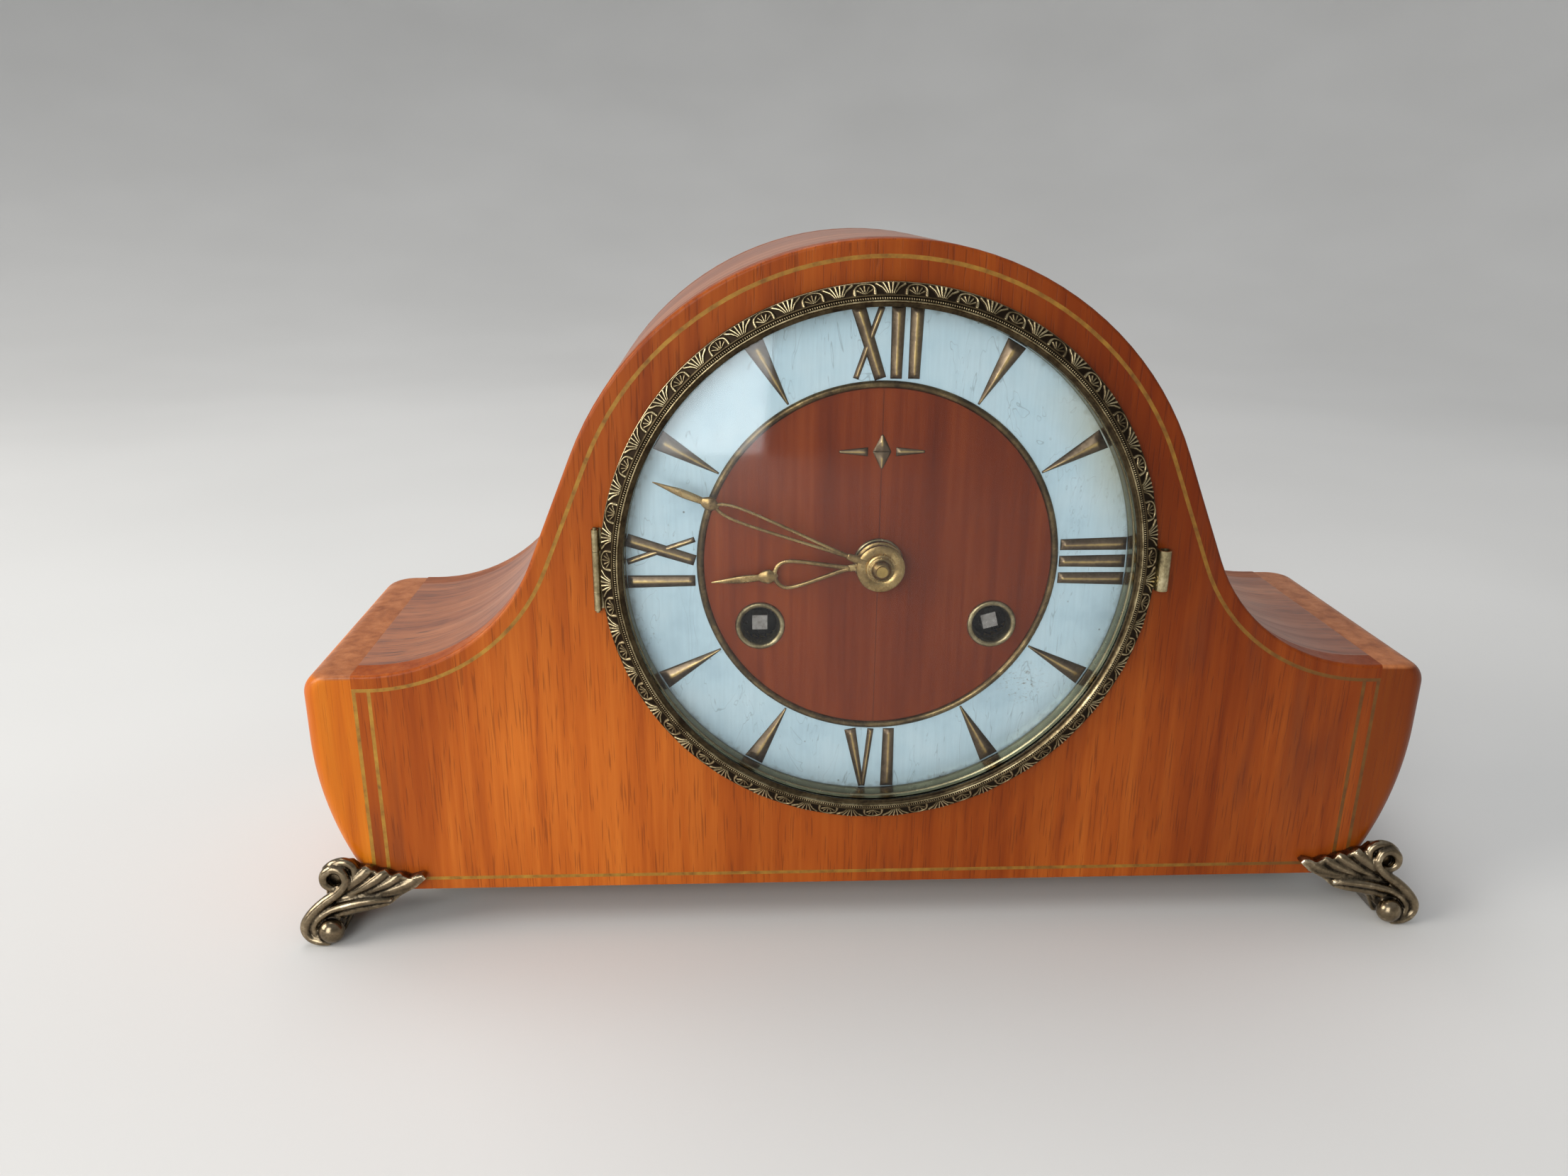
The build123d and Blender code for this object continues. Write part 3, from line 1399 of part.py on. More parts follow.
with BuildPart() as gong_rods:
    for depth, tip in zip(GONG_DEPTHS, (72.0, 58.0)):
        with BuildSketch(Plane(origin=(GONG_BLOCK_X - 10, FRONT + depth, DIAL_Z + GONG_Z), z_dir=(1, 0, 0))):
            Circle(GONG_R)
        extrude(amount=tip - GONG_BLOCK_X + 10)
save(gong_rods, "gong_rods")
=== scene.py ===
import json
import math

import bmesh
import bpy
import numpy as np
from mathutils import Matrix, Vector, noise


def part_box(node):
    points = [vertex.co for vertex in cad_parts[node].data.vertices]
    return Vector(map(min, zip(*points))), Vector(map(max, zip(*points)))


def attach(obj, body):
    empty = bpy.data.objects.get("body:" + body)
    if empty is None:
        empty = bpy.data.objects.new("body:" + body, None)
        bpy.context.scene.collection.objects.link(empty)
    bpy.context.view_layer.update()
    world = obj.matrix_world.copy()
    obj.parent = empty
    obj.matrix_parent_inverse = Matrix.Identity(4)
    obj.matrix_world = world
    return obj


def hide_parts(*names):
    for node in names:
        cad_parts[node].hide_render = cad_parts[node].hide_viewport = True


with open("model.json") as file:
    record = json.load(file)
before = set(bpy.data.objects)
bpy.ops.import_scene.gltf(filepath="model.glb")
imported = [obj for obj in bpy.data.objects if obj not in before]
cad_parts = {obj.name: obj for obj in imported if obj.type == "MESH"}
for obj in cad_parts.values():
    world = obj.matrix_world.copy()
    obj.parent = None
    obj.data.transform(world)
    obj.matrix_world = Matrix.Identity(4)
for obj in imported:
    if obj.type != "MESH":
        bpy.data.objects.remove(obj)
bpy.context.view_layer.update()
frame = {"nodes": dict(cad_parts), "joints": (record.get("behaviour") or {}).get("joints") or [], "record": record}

MM = 0.001
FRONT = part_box("front_panel")[0].y          # plane of the case front
JOINT_AT = {joint["name"]: Vector(joint["pos_m"]) for joint in frame["joints"]}
DIAL = Vector((0, FRONT, JOINT_AT["hand_setting"].z))


def add_object(name, data):
    made = bpy.data.objects.new(name, data)
    bpy.context.scene.collection.objects.link(made)
    return made


# ---- camera

EYE = Vector((-0.0397, -0.3438, 0.2075))
TURNED_RIGHT = math.radians(2.59)
TURNED_DOWN = math.radians(18.70)
ROLLED = math.radians(0.41)
LENS = 26.6


def make_camera():
    """Camera a little left of the clock and above it, looking down at the dial."""
    data = bpy.data.cameras.new("camera")
    data.lens = LENS
    data.sensor_width = 36
    data.clip_start = 0.01
    camera = add_object("camera", data)
    aim = Matrix.Rotation(-TURNED_RIGHT, 4, "Z") @ Matrix.Rotation(math.pi / 2 - TURNED_DOWN, 4, "X")
    camera.matrix_world = Matrix.Translation(EYE) @ aim @ Matrix.Rotation(ROLLED, 4, "Z")
    bpy.context.scene.camera = camera


# ---- looks


def linear(colour):
    """Linear colour of a screen colour given from 0 to 255. A colour of four values is linear already."""
    if len(colour) == 4:
        return colour
    channels = []
    for value in (channel / 255 for channel in colour):
        channels.append(value / 12.92 if value <= 0.04045 else ((value + 0.055) / 1.055) ** 2.4)
    return (*channels, 1.0)


class Look:
    """A material being made. Each method adds nodes and returns the output that carries the result."""

    def __init__(self, name, metallic=0.0, coat=0.0, coat_roughness=0.1, specular=0.5):
        self.material = bpy.data.materials.new(name)
        self.material.use_nodes = True
        self.tree = self.material.node_tree
        self.shader = self.tree.nodes["Principled BSDF"]
        self.shader.inputs["Metallic"].default_value = metallic
        self.shader.inputs["Coat Weight"].default_value = coat
        self.shader.inputs["Coat Roughness"].default_value = coat_roughness
        self.shader.inputs["Specular IOR Level"].default_value = specular
        self.place = self.node("ShaderNodeTexCoord").outputs["Object"]
        self.normal = None

    def feed(self, socket, value):
        """Link a socket to an output, or set it."""
        if isinstance(value, bpy.types.NodeSocket):
            self.tree.links.new(value, socket)
        else:
            socket.default_value = linear(value) if socket.type == "RGBA" else value

    def node(self, kind, inputs=(), **settings):
        made = self.tree.nodes.new(kind)
        for key, value in settings.items():
            setattr(made, key, value)
        for key, value in dict(inputs).items():
            self.feed(made.inputs[key], value)
        return made

    def scaled(self, factors, place=None):
        """Coordinates multiplied axis by axis."""
        inputs = {0: place or self.place, 1: factors}
        return self.node("ShaderNodeVectorMath", inputs, operation="MULTIPLY").outputs[0]

    def noise(self, scale, detail=3.0, roughness=0.55, distortion=0.0, place=None):
        inputs = {
            "Vector": place or self.place, "Scale": scale, "Detail": detail,
            "Roughness": roughness, "Distortion": distortion,
        }
        return self.node("ShaderNodeTexNoise", inputs).outputs["Fac"]

    def specks(self, scale, size, share):
        """1 inside small round specks, on a share of the cells of a random lattice."""
        cells = self.node("ShaderNodeTexVoronoi", {"Vector": self.place, "Scale": scale})
        near = self.between(cells.outputs["Distance"], size, size * 0.5)
        chosen = self.between(cells.outputs["Color"], share, share * 0.8)
        return self.math("MULTIPLY", near, chosen)

    def between(self, value, low, high, out_low=0.0, out_high=1.0):
        """Value mapped from low..high to out_low..out_high, clamped."""
        inputs = {"Value": value, "From Min": low, "From Max": high, "To Min": out_low, "To Max": out_high}
        return self.node("ShaderNodeMapRange", inputs).outputs[0]

    def spread(self, noise, low, high):
        """Noise, which lies mostly between 0.3 and 0.7, mapped to low..high."""
        return self.between(noise, 0.3, 0.7, low, high)

    def math(self, operation, first, second=0.0):
        return self.node("ShaderNodeMath", {0: first, 1: second}, operation=operation).outputs[0]

    def mixed(self, factor, first, second, blend="MIX"):
        inputs = {0: factor, 6: first, 7: second}
        return self.node("ShaderNodeMix", inputs, data_type="RGBA", blend_type=blend).outputs[2]

    def tinted(self, colour, share, tint):
        """Colour multiplied by a tint, as far as the share says."""
        return self.mixed(share, colour, self.mixed(1.0, colour, tint, "MULTIPLY"))

    def marked(self, colour, mask, strength, paint):
        """Colour painted over, at a strength, where the mask is 1."""
        return self.mixed(self.math("MULTIPLY", mask, strength), colour, paint)

    def ramp(self, value, stops):
        """Colour read along a ramp of (position, colour) stops."""
        made = self.node("ShaderNodeValToRGB", {0: value})
        elements = made.color_ramp.elements
        while len(elements) < len(stops):
            elements.new(1.0)
        for element, (position, colour) in zip(elements, stops):
            element.position = position
            element.color = linear(colour)
        return made.outputs[0]

    def part(self, axis):
        return self.node("ShaderNodeSeparateXYZ", {0: self.place}).outputs[axis]

    def from_dial(self):
        """Distance from the dial's axis."""
        flat = self.node("ShaderNodeVectorMath", {0: self.place, 1: tuple(DIAL)}, operation="SUBTRACT")
        flat = self.scaled((1.0, 0.0, 1.0), flat.outputs[0])
        return self.node("ShaderNodeVectorMath", {0: flat}, operation="LENGTH").outputs["Value"]

    def patch(self, centre, radius, softness):
        """1 near a place, fading to 0 at the radius."""
        apart = self.node("ShaderNodeVectorMath", {0: self.place, 1: tuple(centre)}, operation="DISTANCE")
        return self.between(apart.outputs["Value"], radius, radius * (1 - softness))

    def relief(self):
        """Height in a piece's ornament, from 0 in the hollows to 1 on the ridges."""
        return self.node("ShaderNodeAttribute", attribute_name="relief").outputs["Fac"]

    def bump(self, height, depth, strength):
        inputs = {"Height": height, "Distance": depth, "Strength": strength}
        if self.normal:
            inputs["Normal"] = self.normal
        self.normal = self.node("ShaderNodeBump", inputs).outputs[0]

    def done(self, colour, roughness):
        for key, value in (("Base Color", colour), ("Roughness", roughness), ("Normal", self.normal)):
            self.feed(self.shader.inputs[key], value)
        return self.material


GRAIN_STOPS = (0.30, 0.52, 0.74)


def grained(look, squeeze, tones, figure_scale, pores, roughened=1.0):
    """Colour, streaks and figure of wood whose grain runs along the squeezed axes. The tones go from light
    to dark, and the last is that of the pores."""
    along = look.scaled(squeeze)
    longer = look.scaled([1.0 if s == 1.0 else s * 0.4 for s in squeeze])
    wide = look.scaled([1.0 if s == 1.0 else 0.3 for s in squeeze])
    figure = look.noise(figure_scale, 4.0, 0.6, 0.6, wide)
    streak = look.noise(240.0, 5.0, 0.62, 0.25, along)
    fibre = look.noise(1500.0, 2.0, 0.5, 0.0, longer)
    pore = look.between(look.noise(2300.0, 1.0, 0.4, 0.0, along), 0.60, 0.68)
    colour = look.ramp(streak, list(zip(GRAIN_STOPS, tones)))
    shade = look.ramp(figure, [(0.32, (255, 250, 244)), (0.62, (205, 184, 172))])
    colour = look.mixed(1.0, colour, shade, "MULTIPLY")
    colour = look.mixed(look.between(fibre, 0.35, 0.7, 0.0, 0.22), colour, tones[2])
    colour = look.marked(colour, pore, pores, tones[3])
    look.bump(pore, -0.00006, 0.5 * roughened)
    look.bump(fibre, 0.00002, 0.3 * roughened)
    return colour, streak, figure


TOP_TONES = [(178, 112, 68), (158, 94, 54), (126, 70, 40), (70, 38, 24)]
INNER_TONES = [(196, 150, 100), (176, 128, 80), (146, 100, 62), (96, 62, 40)]
ALONG_CASE = (0.04, 1.0, 1.0)
PAINTED_SHADE_SPAN = (-0.15, 0.13)     # places across the case between which painted shade grows on its front, toward the right, in metres
STAIN_EDGE = (0.0799, 0.0806)  # heights between which the end caps turn from amber to brown


def front_veneer():
    """Amber veneer with dark flames and dusty pores, dimmed to the right and upward by its tone and painted shade.
    """
    look = Look("front_veneer", coat=0.05, coat_roughness=0.2, specular=0.12)
    tones = [(208, 118, 42), (190, 99, 30), (162, 77, 22), (96, 42, 16)]
    colour, streak, figure = grained(look, (1.0, 1.0, 0.035), tones, 16.0, 0.4)
    # painted shade, partly the wood's own tone: it grows to the right and upward, and eases off at the summit
    across = look.between(look.part(0), *PAINTED_SHADE_SPAN, 0.0, 0.6)
    height = look.part(2)
    upward = look.between(height, 0.06, 0.14, 0.0, 0.5)
    summit = look.between(height, 0.165, 0.19, 0.0, 0.1)
    painted_shade = look.math("SUBTRACT", look.math("ADD", across, upward), summit)
    # the painted shade's tint, laid on as far as the mask says
    colour = look.tinted(colour, painted_shade, (164, 138, 128))
    flame = look.noise(95.0, 3.0, 0.5, 0.4, look.scaled((1.0, 1.0, 0.12)))
    flame = look.math("MULTIPLY", look.between(flame, 0.56, 0.70), look.between(figure, 0.42, 0.62))
    colour = look.marked(colour, flame, 0.55, (92, 42, 24))
    dust = look.specks(260.0, 0.07, 0.10)
    colour = look.marked(colour, dust, 0.5, (226, 190, 160))
    return look.done(colour, look.spread(streak, 0.30, 0.44))


def plain_wood(name, squeeze, tones, figure_scale, pores, roughness, **finish):
    """Wood with nothing on it but its grain. The roughness is given at the light and at the dark streaks."""
    look = Look(name, **finish)
    colour, streak, _ = grained(look, squeeze, tones, figure_scale, pores)
    return look.done(colour, look.spread(streak, *roughness))


def end_wood():
    """Amber wood dimmed to the right by painted shade, stained as brown as the top on its upper face."""
    look = Look("end_wood", coat=0.08, coat_roughness=0.2, specular=0.15)
    tones = [(240, 152, 40), (230, 134, 26), (210, 112, 20), (140, 70, 18)]
    colour, streak, figure = grained(look, (1.0, 1.0, 0.03), tones, 14.0, 0.18)
    # painted shade: the caps dim to the right, away from the light at the left
    across = look.between(look.part(0), -0.02, 0.12)
    colour = look.tinted(colour, across, (146, 124, 96))
    stain = look.ramp(streak, list(zip(GRAIN_STOPS, TOP_TONES)))
    ragged = look.spread(figure, -0.0003, 0.0003)
    height = look.math("ADD", look.part(2), ragged)
    colour = look.mixed(look.between(height, *STAIN_EDGE), colour, stain)
    return look.done(colour, look.spread(streak, 0.30, 0.40))


def dial_veneer():
    """Two matched sheets with a seam down the middle of the dial, dimmed to the right by painted shade."""
    look = Look("dial_veneer", coat=0.04, coat_roughness=0.2, specular=0.12)
    parts = look.node("ShaderNodeSeparateXYZ", {0: look.place}).outputs
    # painted shade, growing to the right
    across = look.between(parts[0], -0.02, 0.05, 0.0, 0.7)
    fold = look.math("ABSOLUTE", parts[0])
    look.place = look.node("ShaderNodeCombineXYZ", {0: fold, 1: parts[1], 2: parts[2]}).outputs[0]
    tones = [(172, 90, 42), (150, 70, 30), (122, 52, 22), (70, 28, 14)]
    colour, streak, _ = grained(look, (1.0, 1.0, 0.035), tones, 26.0, 0.12, 0.1)
    # the painted shade laid on the veneer
    colour = look.tinted(colour, across, (196, 176, 160))
    seam = look.between(fold, 0.00022, 0.00008)
    colour = look.marked(colour, seam, 0.55, (60, 26, 18))
    return look.done(colour, look.spread(streak, 0.28, 0.42))


def stringing():
    """Pale inlaid lines, dimmed to the right by painted shade, most of all at the far right."""
    look = Look("stringing", coat=0.06, coat_roughness=0.2, specular=0.2)
    tones = [(0.3, (172, 128, 46)), (0.55, (148, 104, 38)), (0.75, (110, 72, 30))]
    colour = look.ramp(look.noise(300.0, 4.0, 0.6), tones)
    across = look.part(0)
    # painted shade over the same span as on the front
    colour = look.tinted(colour, look.between(across, *PAINTED_SHADE_SPAN, 0.0, 0.7), (168, 150, 136))
    # more painted shade at the far right of the case
    colour = look.mixed(look.between(across, 0.09, 0.14, 0.0, 0.6), colour, (84, 48, 22))
    fibre = look.noise(2600.0, 2.0)
    look.bump(fibre, 0.00003, 0.4)
    return look.done(colour, look.spread(fibre, 0.34, 0.5))


def aged_metal(name, bright, middle, dark, roughness=(0.26, 0.5), ornament=False, dents=0.00006):
    """Old metal: bright where hands and cloths rub it, dark where they don't reach. An ornament is bright
    on its ridges and dark in its hollows."""
    look = Look(name, metallic=1.0)
    patches = look.noise(170.0, 6.0, 0.62, 0.3)
    fine = look.noise(1400.0, 3.0, 0.6)
    if ornament:
        worn = look.math("ADD", look.relief(), look.spread(patches, -0.16, 0.16))
        worn = look.math("ADD", worn, look.spread(fine, -0.08, 0.08))
        colour = look.ramp(worn, [(0.18, dark), (0.64, middle), (0.98, bright)])
        shine = look.between(worn, 0.1, 0.9, roughness[1], roughness[0])
    else:
        worn = look.math("ADD", patches, look.spread(fine, -0.06, 0.06))
        colour = look.ramp(worn, [(0.3, dark), (0.5, middle), (0.7, bright)])
        shine = look.spread(worn, roughness[1], roughness[0])
    look.bump(fine, 0.00003, 0.5)
    look.bump(patches, dents, 0.3)
    return look.done(colour, shine)


def turned_brass():
    """Old brass with fine turning lines round the dial."""
    look = Look("sight_brass", metallic=1.0)
    patches = look.noise(120.0, 4.0, 0.6)
    round_dial = look.node("ShaderNodeCombineXYZ", {0: look.from_dial()}).outputs[0]
    lines = look.noise(2600.0, 3.0, 0.6, place=round_dial)
    tarnish = look.math("ADD", lines, look.spread(patches, -0.05, 0.05))
    tones = [(0.34, (84, 78, 60)), (0.50, (126, 116, 88)), (0.68, (192, 180, 142))]
    colour = look.ramp(tarnish, tones)
    look.bump(lines, 0.00001, 0.4)
    return look.done(colour, look.spread(patches, 0.2, 0.3))


def arbor_steel():
    """Steel that is bright on the winding square, with painted shade making it dark further back in the winding
    hole.
    """
    look = Look("arbor_steel", metallic=1.0)
    worn = look.noise(700.0, 4.0, 0.6)
    bright = look.ramp(worn, [(0.3, (182, 178, 174)), (0.7, (130, 126, 122))])
    dark = look.ramp(worn, [(0.3, (48, 46, 48)), (0.7, (30, 30, 34))])
    # painted shade: the arbor turns dark further back inside the winding hole
    hole_shade = look.between(look.part(1), FRONT + 0.0098, FRONT + 0.0112)
    look.bump(worn, 0.00004, 0.5)
    return look.done(look.mixed(hole_shade, bright, dark), look.spread(worn, 0.24, 0.45))


def silvered():
    """Silvered chapter ring: satin, hair-scratched, with painted shade at its outer edge, worn through in one
    place.
    """
    look = Look("silvered", metallic=0.30)
    cloud = look.noise(60.0, 5.0, 0.6)
    tones = [(0.3, (210, 232, 240)), (0.55, (198, 224, 234)), (0.75, (182, 208, 220))]
    colour = look.ramp(cloud, tones)
    hair = look.noise(85.0, 3.0, 0.7, 1.2, look.scaled((1.0, 1.0, 0.25)))
    hair = look.between(look.math("ABSOLUTE", look.math("SUBTRACT", hair, 0.5)), 0.004, 0.001)
    colour = look.marked(colour, hair, 0.45, (126, 142, 150))
    brushed = look.noise(1300.0, 2.0, place=look.scaled((1.0, 1.0, 0.06)))
    colour = look.mixed(look.between(brushed, 0.35, 0.75, 0.0, 0.14), colour, (150, 172, 182))
    away = look.from_dial()
    # painted shade along the outer edge, where the ring meets the wall around it
    ragged = look.spread(look.noise(420.0, 4.0), -0.0012, 0.0012)
    edge_shade = look.between(look.math("ADD", away, ragged), 0.0680, 0.0700, 0.0, 0.45)
    colour = look.mixed(edge_shade, colour, (104, 108, 100))
    yellow = look.patch(DIAL + Vector((0.058, 0.0038, 0.030)), 0.026, 0.7)
    yellow = look.math("MULTIPLY", yellow, look.between(away, 0.058, 0.068))
    colour = look.marked(colour, yellow, 0.5, (196, 190, 152))
    dark_specks = look.specks(300.0, 0.13, 0.11)
    colour = look.marked(colour, dark_specks, 0.85, (92, 86, 76))
    worn = look.patch(DIAL + Vector((0.043, 0.0038, -0.036)), 0.010, 1.0)
    flaked = look.between(look.noise(620.0, 4.0, 0.75, 0.5, look.scaled((1.0, 1.0, 1.9))), 0.56, 0.62)
    worn = look.math("MULTIPLY", look.between(worn, 0.1, 0.9), flaked)
    colour = look.marked(colour, worn, 0.75, (120, 104, 84))
    look.bump(brushed, 0.00001, 0.4)
    look.bump(worn, -0.00003, 0.5)
    return look.done(colour, look.spread(cloud, 0.34, 0.46))


def cast_iron():
    look = Look("cast_iron", metallic=0.3)
    grit = look.noise(1100.0, 5.0, 0.7)
    look.bump(grit, 0.0002, 0.6)
    colour = look.ramp(grit, [(0.3, (30, 30, 31)), (0.7, (58, 57, 56))])
    return look.done(colour, look.spread(grit, 0.55, 0.75))


def clear_glass():
    """Thin clear glass: seen through, with its gloss on top."""
    look = Look("glass")
    tree = look.tree
    clear = look.node("ShaderNodeBsdfTransparent", {"Color": (0.985, 0.99, 0.99, 1.0)})
    gloss = look.node("ShaderNodeBsdfGlossy", {"Roughness": 0.07})
    greys = [(0.2, (0.28, 0.28, 0.28, 1)), (0.8, (0.32, 0.32, 0.32, 1))]
    look.feed(gloss.inputs["Color"], look.ramp(look.noise(30.0, 3.0), greys))
    facing = look.node("ShaderNodeLayerWeight", {"Blend": 0.5}).outputs["Facing"]
    edge = look.between(look.math("POWER", facing, 5.0), 0.0, 1.0, 0.06, 0.9)
    both = look.node("ShaderNodeMixShader", {0: edge, 1: clear.outputs[0], 2: gloss.outputs[0]})
    tree.links.new(both.outputs[0], tree.nodes["Material Output"].inputs["Surface"])
    tree.nodes.remove(look.shader)
    return look.material


def floor_paper():
    look = Look("floor", specular=0.2)
    tooth = look.noise(900.0, 3.0)
    look.bump(tooth, 0.00005, 0.2)
    greys = [(0.3, (204, 202, 198)), (0.7, (210, 208, 204))]
    colour = look.ramp(look.noise(3.0, 2.0), greys)
    return look.done(colour, look.spread(tooth, 0.7, 0.85))


LOOKS = {
    "front_veneer": front_veneer(),
    "top_veneer": plain_wood(
        "top_veneer", (0.05, 1.0, 0.05), TOP_TONES, 22.0, 0.85, (0.36, 0.55), coat=0.6, coat_roughness=0.34
    ),
    "end_wood": end_wood(),
    "inner_wood": plain_wood("inner_wood", ALONG_CASE, INNER_TONES, 20.0, 0.5, (0.6, 0.8)),
    "dial_veneer": dial_veneer(),
    "stringing": stringing(),
    "antique_brass": aged_metal("antique_brass", (150, 128, 88), (104, 86, 58), (58, 46, 32)),
    "sight_brass": turned_brass(),
    "silvered": silvered(),
    "numeral_bronze": aged_metal(
        "numeral_bronze", (210, 180, 118), (142, 122, 98), (86, 72, 58), (0.3, 0.5), True
    ),
    "hand_brass": aged_metal("hand_brass", (208, 180, 124), (168, 140, 92), (104, 82, 54), (0.2, 0.38)),
    "clock_brass": aged_metal("clock_brass", (214, 186, 118), (196, 166, 100), (166, 136, 80), (0.24, 0.38)),
    "steel": aged_metal("steel", (178, 178, 180), (140, 140, 142), (84, 82, 82), (0.24, 0.42)),
    "cast_iron": cast_iron(),
    "glass": clear_glass(),
}
EYELET = aged_metal("eyelet_brass", (206, 192, 154), (150, 136, 102), (80, 70, 52), (0.24, 0.42))
ORNAMENT = aged_metal("ornament_brass", (200, 184, 144), (98, 84, 60), (40, 32, 24), (0.22, 0.5), True)
CASTING = aged_metal("casting_bronze", (232, 216, 184), (136, 120, 96), (38, 33, 27), (0.15, 0.34), True)
PAN_BRASS = aged_metal("pan_brass", (132, 120, 88), (108, 98, 72), (84, 76, 56), (0.34, 0.46), dents=0.000008)
ARBOR_STEEL = arbor_steel()
BACK_WOOD = plain_wood(
    "back_wood", ALONG_CASE, TOP_TONES, 18.0, 0.5, (0.42, 0.6), coat=0.15, coat_roughness=0.3, specular=0.3
)

# ---- mesh helpers


def grid_faces(rows, columns, ring_rows=False, ring_columns=False):
    """Quads of a grid of points, listed row by row. A ring of rows or columns closes on itself."""
    row, column = np.meshgrid(
        np.arange(rows if ring_rows else rows - 1),
        np.arange(columns if ring_columns else columns - 1),
        indexing="ij",
    )
    this, after = row * columns, (row + 1) % rows * columns
    beside = (column + 1) % columns
    quads = np.stack([this + column, this + beside, after + beside, after + column], axis=-1)
    return quads.reshape(-1, 4).tolist()


def make_piece(name, points, faces, body, slot, stands_for=(), look=None, relief=None):
    """A piece from places in metres and faces, with its body, its slot and the nodes that it replaces. It has
    its slot's look unless it is given one of its own."""
    mesh = bpy.data.meshes.new(name)
    mesh.from_pydata(np.asarray(points).tolist(), [], [tuple(face) for face in faces])
    work = bmesh.new()
    work.from_mesh(mesh)
    bmesh.ops.recalc_face_normals(work, faces=work.faces)
    work.to_mesh(mesh)
    work.free()
    mesh.shade_smooth()
    if relief is not None:
        layer = mesh.attributes.new("relief", "FLOAT", "POINT")
        layer.data.foreach_set("value", np.asarray(relief, np.float32))
    mesh.materials.append(look or LOOKS[slot])
    piece = add_object(name, mesh)
    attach(piece, body)
    if stands_for:
        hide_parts(*stands_for)
    return piece


class Clay:
    """Closed pieces gathered into one list of points and faces."""

    def __init__(self):
        self.points = []
        self.faces = []
        self.relief = []

    def add(self, points, faces, relief=None):
        start = len(self.points)
        self.points += [tuple(point) for point in points]
        self.faces += [tuple(int(i) + start for i in face) for face in faces]
        self.relief += list(relief) if relief is not None else [1.0] * len(points)


def turned(section, steps, change=0.0):
    """Points in metres and faces of a closed (radius, height) section in mm, turned about the dial's axis.
    The change is what is added to the section's points from angle to angle."""
    angles = (np.arange(steps) * 2 * math.pi / steps)[:, None]
    profile = np.zeros((steps, 1, 1)) + np.asarray(section, float) + change
    radius, height = profile[..., 0] * MM, profile[..., 1] * MM
    across, upward = radius * np.sin(angles), radius * np.cos(angles)
    points = np.stack([DIAL.x + across, FRONT - height, DIAL.z + upward], axis=-1)
    return points.reshape(-1, 3), grid_faces(steps, len(section), True, True)


def path_through(places, steps):
    """Smooth path through places of any dimension, as a Catmull-Rom curve."""
    places = np.asarray(places, float)
    ends = np.vstack([2 * places[0] - places[1], places, 2 * places[-1] - places[-2]])
    made = []
    for i in range(1, len(ends) - 2):
        a, b, c, d = ends[i - 1:i + 3]
        square, cube = 2 * a - 5 * b + 4 * c - d, 3 * b - a - 3 * c + d
        for t in np.arange(steps) / steps:
            made.append(0.5 * (2 * b + (c - a) * t + square * t * t + cube * t**3))
    made.append(places[-1])
    return np.array(made)


def tube(places, steps, sides, squash):
    """Closed tube along (x, y, z, radius) places, its section flattened along Y by squash. There are steps
    from place to place."""
    path = path_through(places, steps)
    centre, radius = path[:, :3], np.maximum(path[:, 3], 1e-5)
    along = np.gradient(centre, axis=0)
    along /= np.linalg.norm(along, axis=1)[:, None]
    depth = np.array([0.0, 1.0, 0.0])
    side = np.cross(along, depth)
    side /= np.maximum(np.linalg.norm(side, axis=1), 1e-6)[:, None]
    third = np.cross(side, along)
    turn = np.arange(sides) * 2 * math.pi / sides
    rim = centre[:, None] + radius[:, None, None] * (
        np.cos(turn)[None, :, None] * side[:, None] + squash * np.sin(turn)[None, :, None] * third[:, None]
    )
    faces = grid_faces(len(path), sides, ring_columns=True)
    first_tip = centre[0] - along[0] * radius[0] * 0.5
    last_tip = centre[-1] + along[-1] * radius[-1] * 0.5
    points = np.vstack([rim.reshape(-1, 3), first_tip, last_tip])
    cap = len(points) - 2
    last = (len(path) - 1) * sides
    for j in range(sides):
        k = (j + 1) % sides
        faces.append((cap, k, j))
        faces.append((cap + 1, last + j, last + k))
    return points, faces


# ---- bezel

# Places on the bezel are a radius and a height before the case front, in mm.
BAND_OUTER = (75.5, 2.9)      # the two edges of the ornamented slope
BAND_INNER = (72.5, 4.2)
FANS = 35
BAND_RELIEF = 0.46
MEAN_R = (BAND_OUTER[0] + BAND_INNER[0]) / 2
BEAD_AT = (71.6, 4.12)
BEAD_HALF = 0.39              # its half width, rise, cut between ticks and foot
BEAD_RISE = 0.46
BEAD_CUT = 0.26
BEAD_FOOT = 3.7
BEAD_TICKS = 21 * FANS


def ridge(u, v, places, height):
    """Height of a rounded ridge over a plane, along (u, v, half width) places."""
    made = np.zeros_like(u)
    for (u0, v0, w0), (u1, v1, w1) in zip(places, places[1:]):
        du, dv = u1 - u0, v1 - v0
        t = np.clip(((u - u0) * du + (v - v0) * dv) / (du * du + dv * dv), 0, 1)
        apart = np.hypot(u - u0 - t * du, v - v0 - t * dv)
        width = w0 + t * (w1 - w0)
        made = np.maximum(made, height * np.sqrt(np.clip(1 - (apart / width) ** 2, 0, 1)))
    return made


